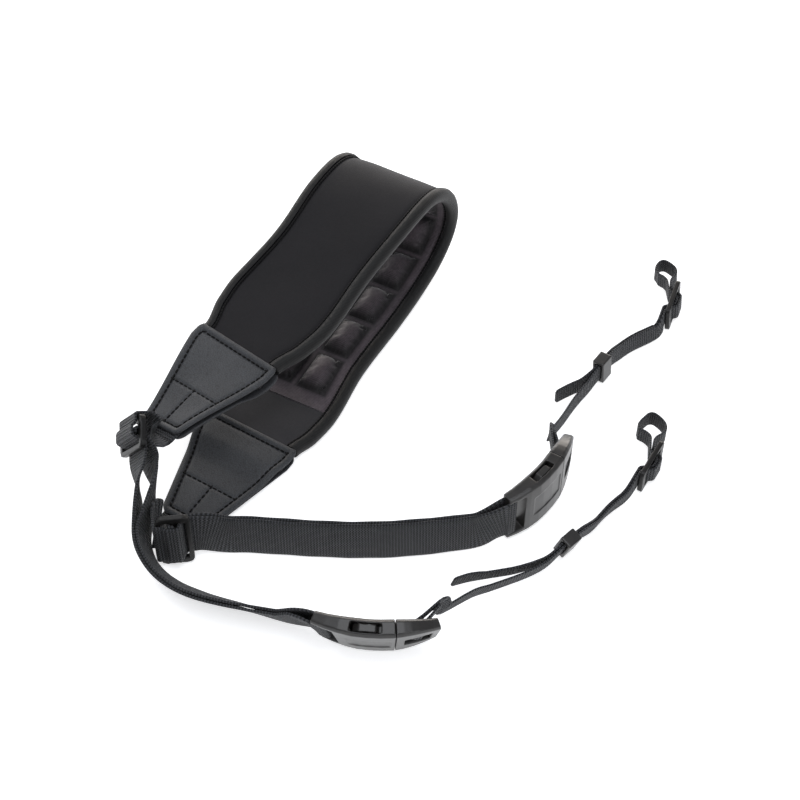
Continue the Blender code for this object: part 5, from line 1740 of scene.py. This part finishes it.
def tape_rows(side):
    """Seams through both lips of the tape."""
    sign = 1 if side == "left" else -1
    column = 1 if side == "left" else 0
    rows = []
    inward = BINDING_WIDTH + 0.5 * MM
    over = 0.25 * MM
    for height in (-SHELL_HALF - over, PANEL_TOP + over):
        rows.append([pad.place(s, sign * (abs(pad_edges(s)[column]) - inward), height) + anchor
                     for s in np.linspace(PAD_START + 2 * MM, PAD_END - 2 * MM, 170)])
    return rows


for side in "ab":
    sew("tack_" + side, tack_rows(side), 1.5 * MM, 1.3 * MM, 0.4 * MM)
for side in ("left", "right"):
    sew("tape_seam_" + side, tape_rows(side), 2.0 * MM, 2.5 * MM, 1.3 * MM)

# %% [markdown]
# ## Table and light
#
# The photograph is lit softly from all round on a white table, with one broad light from
# behind on the left that draws the sheen along the leather and the gloss on the buckles.

# %% The table


def floor_material():
    bench = Bench("white_table", 0.8, Specular_IOR_Level=0.2)
    grain = bench.noise(bench.places(), 60.0, 2.0)
    bench.feed("Base Color", bench.blend(grain, (0.92, 0.92, 0.92, 1), (0.95, 0.95, 0.95, 1)))
    bench.shader.inputs["Emission Color"].default_value = (1, 1, 1, 1)
    bench.shader.inputs["Emission Strength"].default_value = 0.55
    return bench.material


FLOOR_HALF = 6.0
floor_mesh = bpy.data.meshes.new("table")
floor_mesh.from_pydata([(-FLOOR_HALF, -FLOOR_HALF, 0), (FLOOR_HALF, -FLOOR_HALF, 0),
                        (FLOOR_HALF, FLOOR_HALF, 0), (-FLOOR_HALF, FLOOR_HALF, 0)], [],
                       [(0, 1, 2, 3)])
floor_mesh.materials.append(floor_material())
table = bpy.data.objects.new("table", floor_mesh)
bpy.context.scene.collection.objects.link(table)
table.location.z = -0.05 * MM

# %% The lights


def soft_light(name, place, size, power):
    lamp = bpy.data.lights.new(name, "AREA")
    lamp.shape = "RECTANGLE"
    lamp.size, lamp.size_y = size
    lamp.energy = power
    lamp.color = (1.0, 0.93, 0.86) if name == "low_back" else (0.94, 0.96, 1.0)
    item = bpy.data.objects.new(name, lamp)
    bpy.context.scene.collection.objects.link(item)
    aim(item, place, (0, 0, 0))


soft_light("back_left", (-0.9, 1.1, 1.3), (1.2, 0.8), 9.0)
soft_light("overhead", (0.0, -0.4, 1.7), (1.4, 1.4), 17.0)
soft_light("low_back", (0.0, 2.2, 0.5), (3.0, 0.8), 44.0)
soft_light("front_right", (1.1, -1.2, 1.0), (0.9, 0.7), 6.0)
world = bpy.data.worlds.new("studio")
world.use_nodes = True
world.node_tree.nodes["Background"].inputs["Color"].default_value = (0.93, 0.95, 1, 1)
world.node_tree.nodes["Background"].inputs["Strength"].default_value = 0.35
bpy.context.scene.world = world
bpy.context.scene.view_settings.view_transform = "Standard"
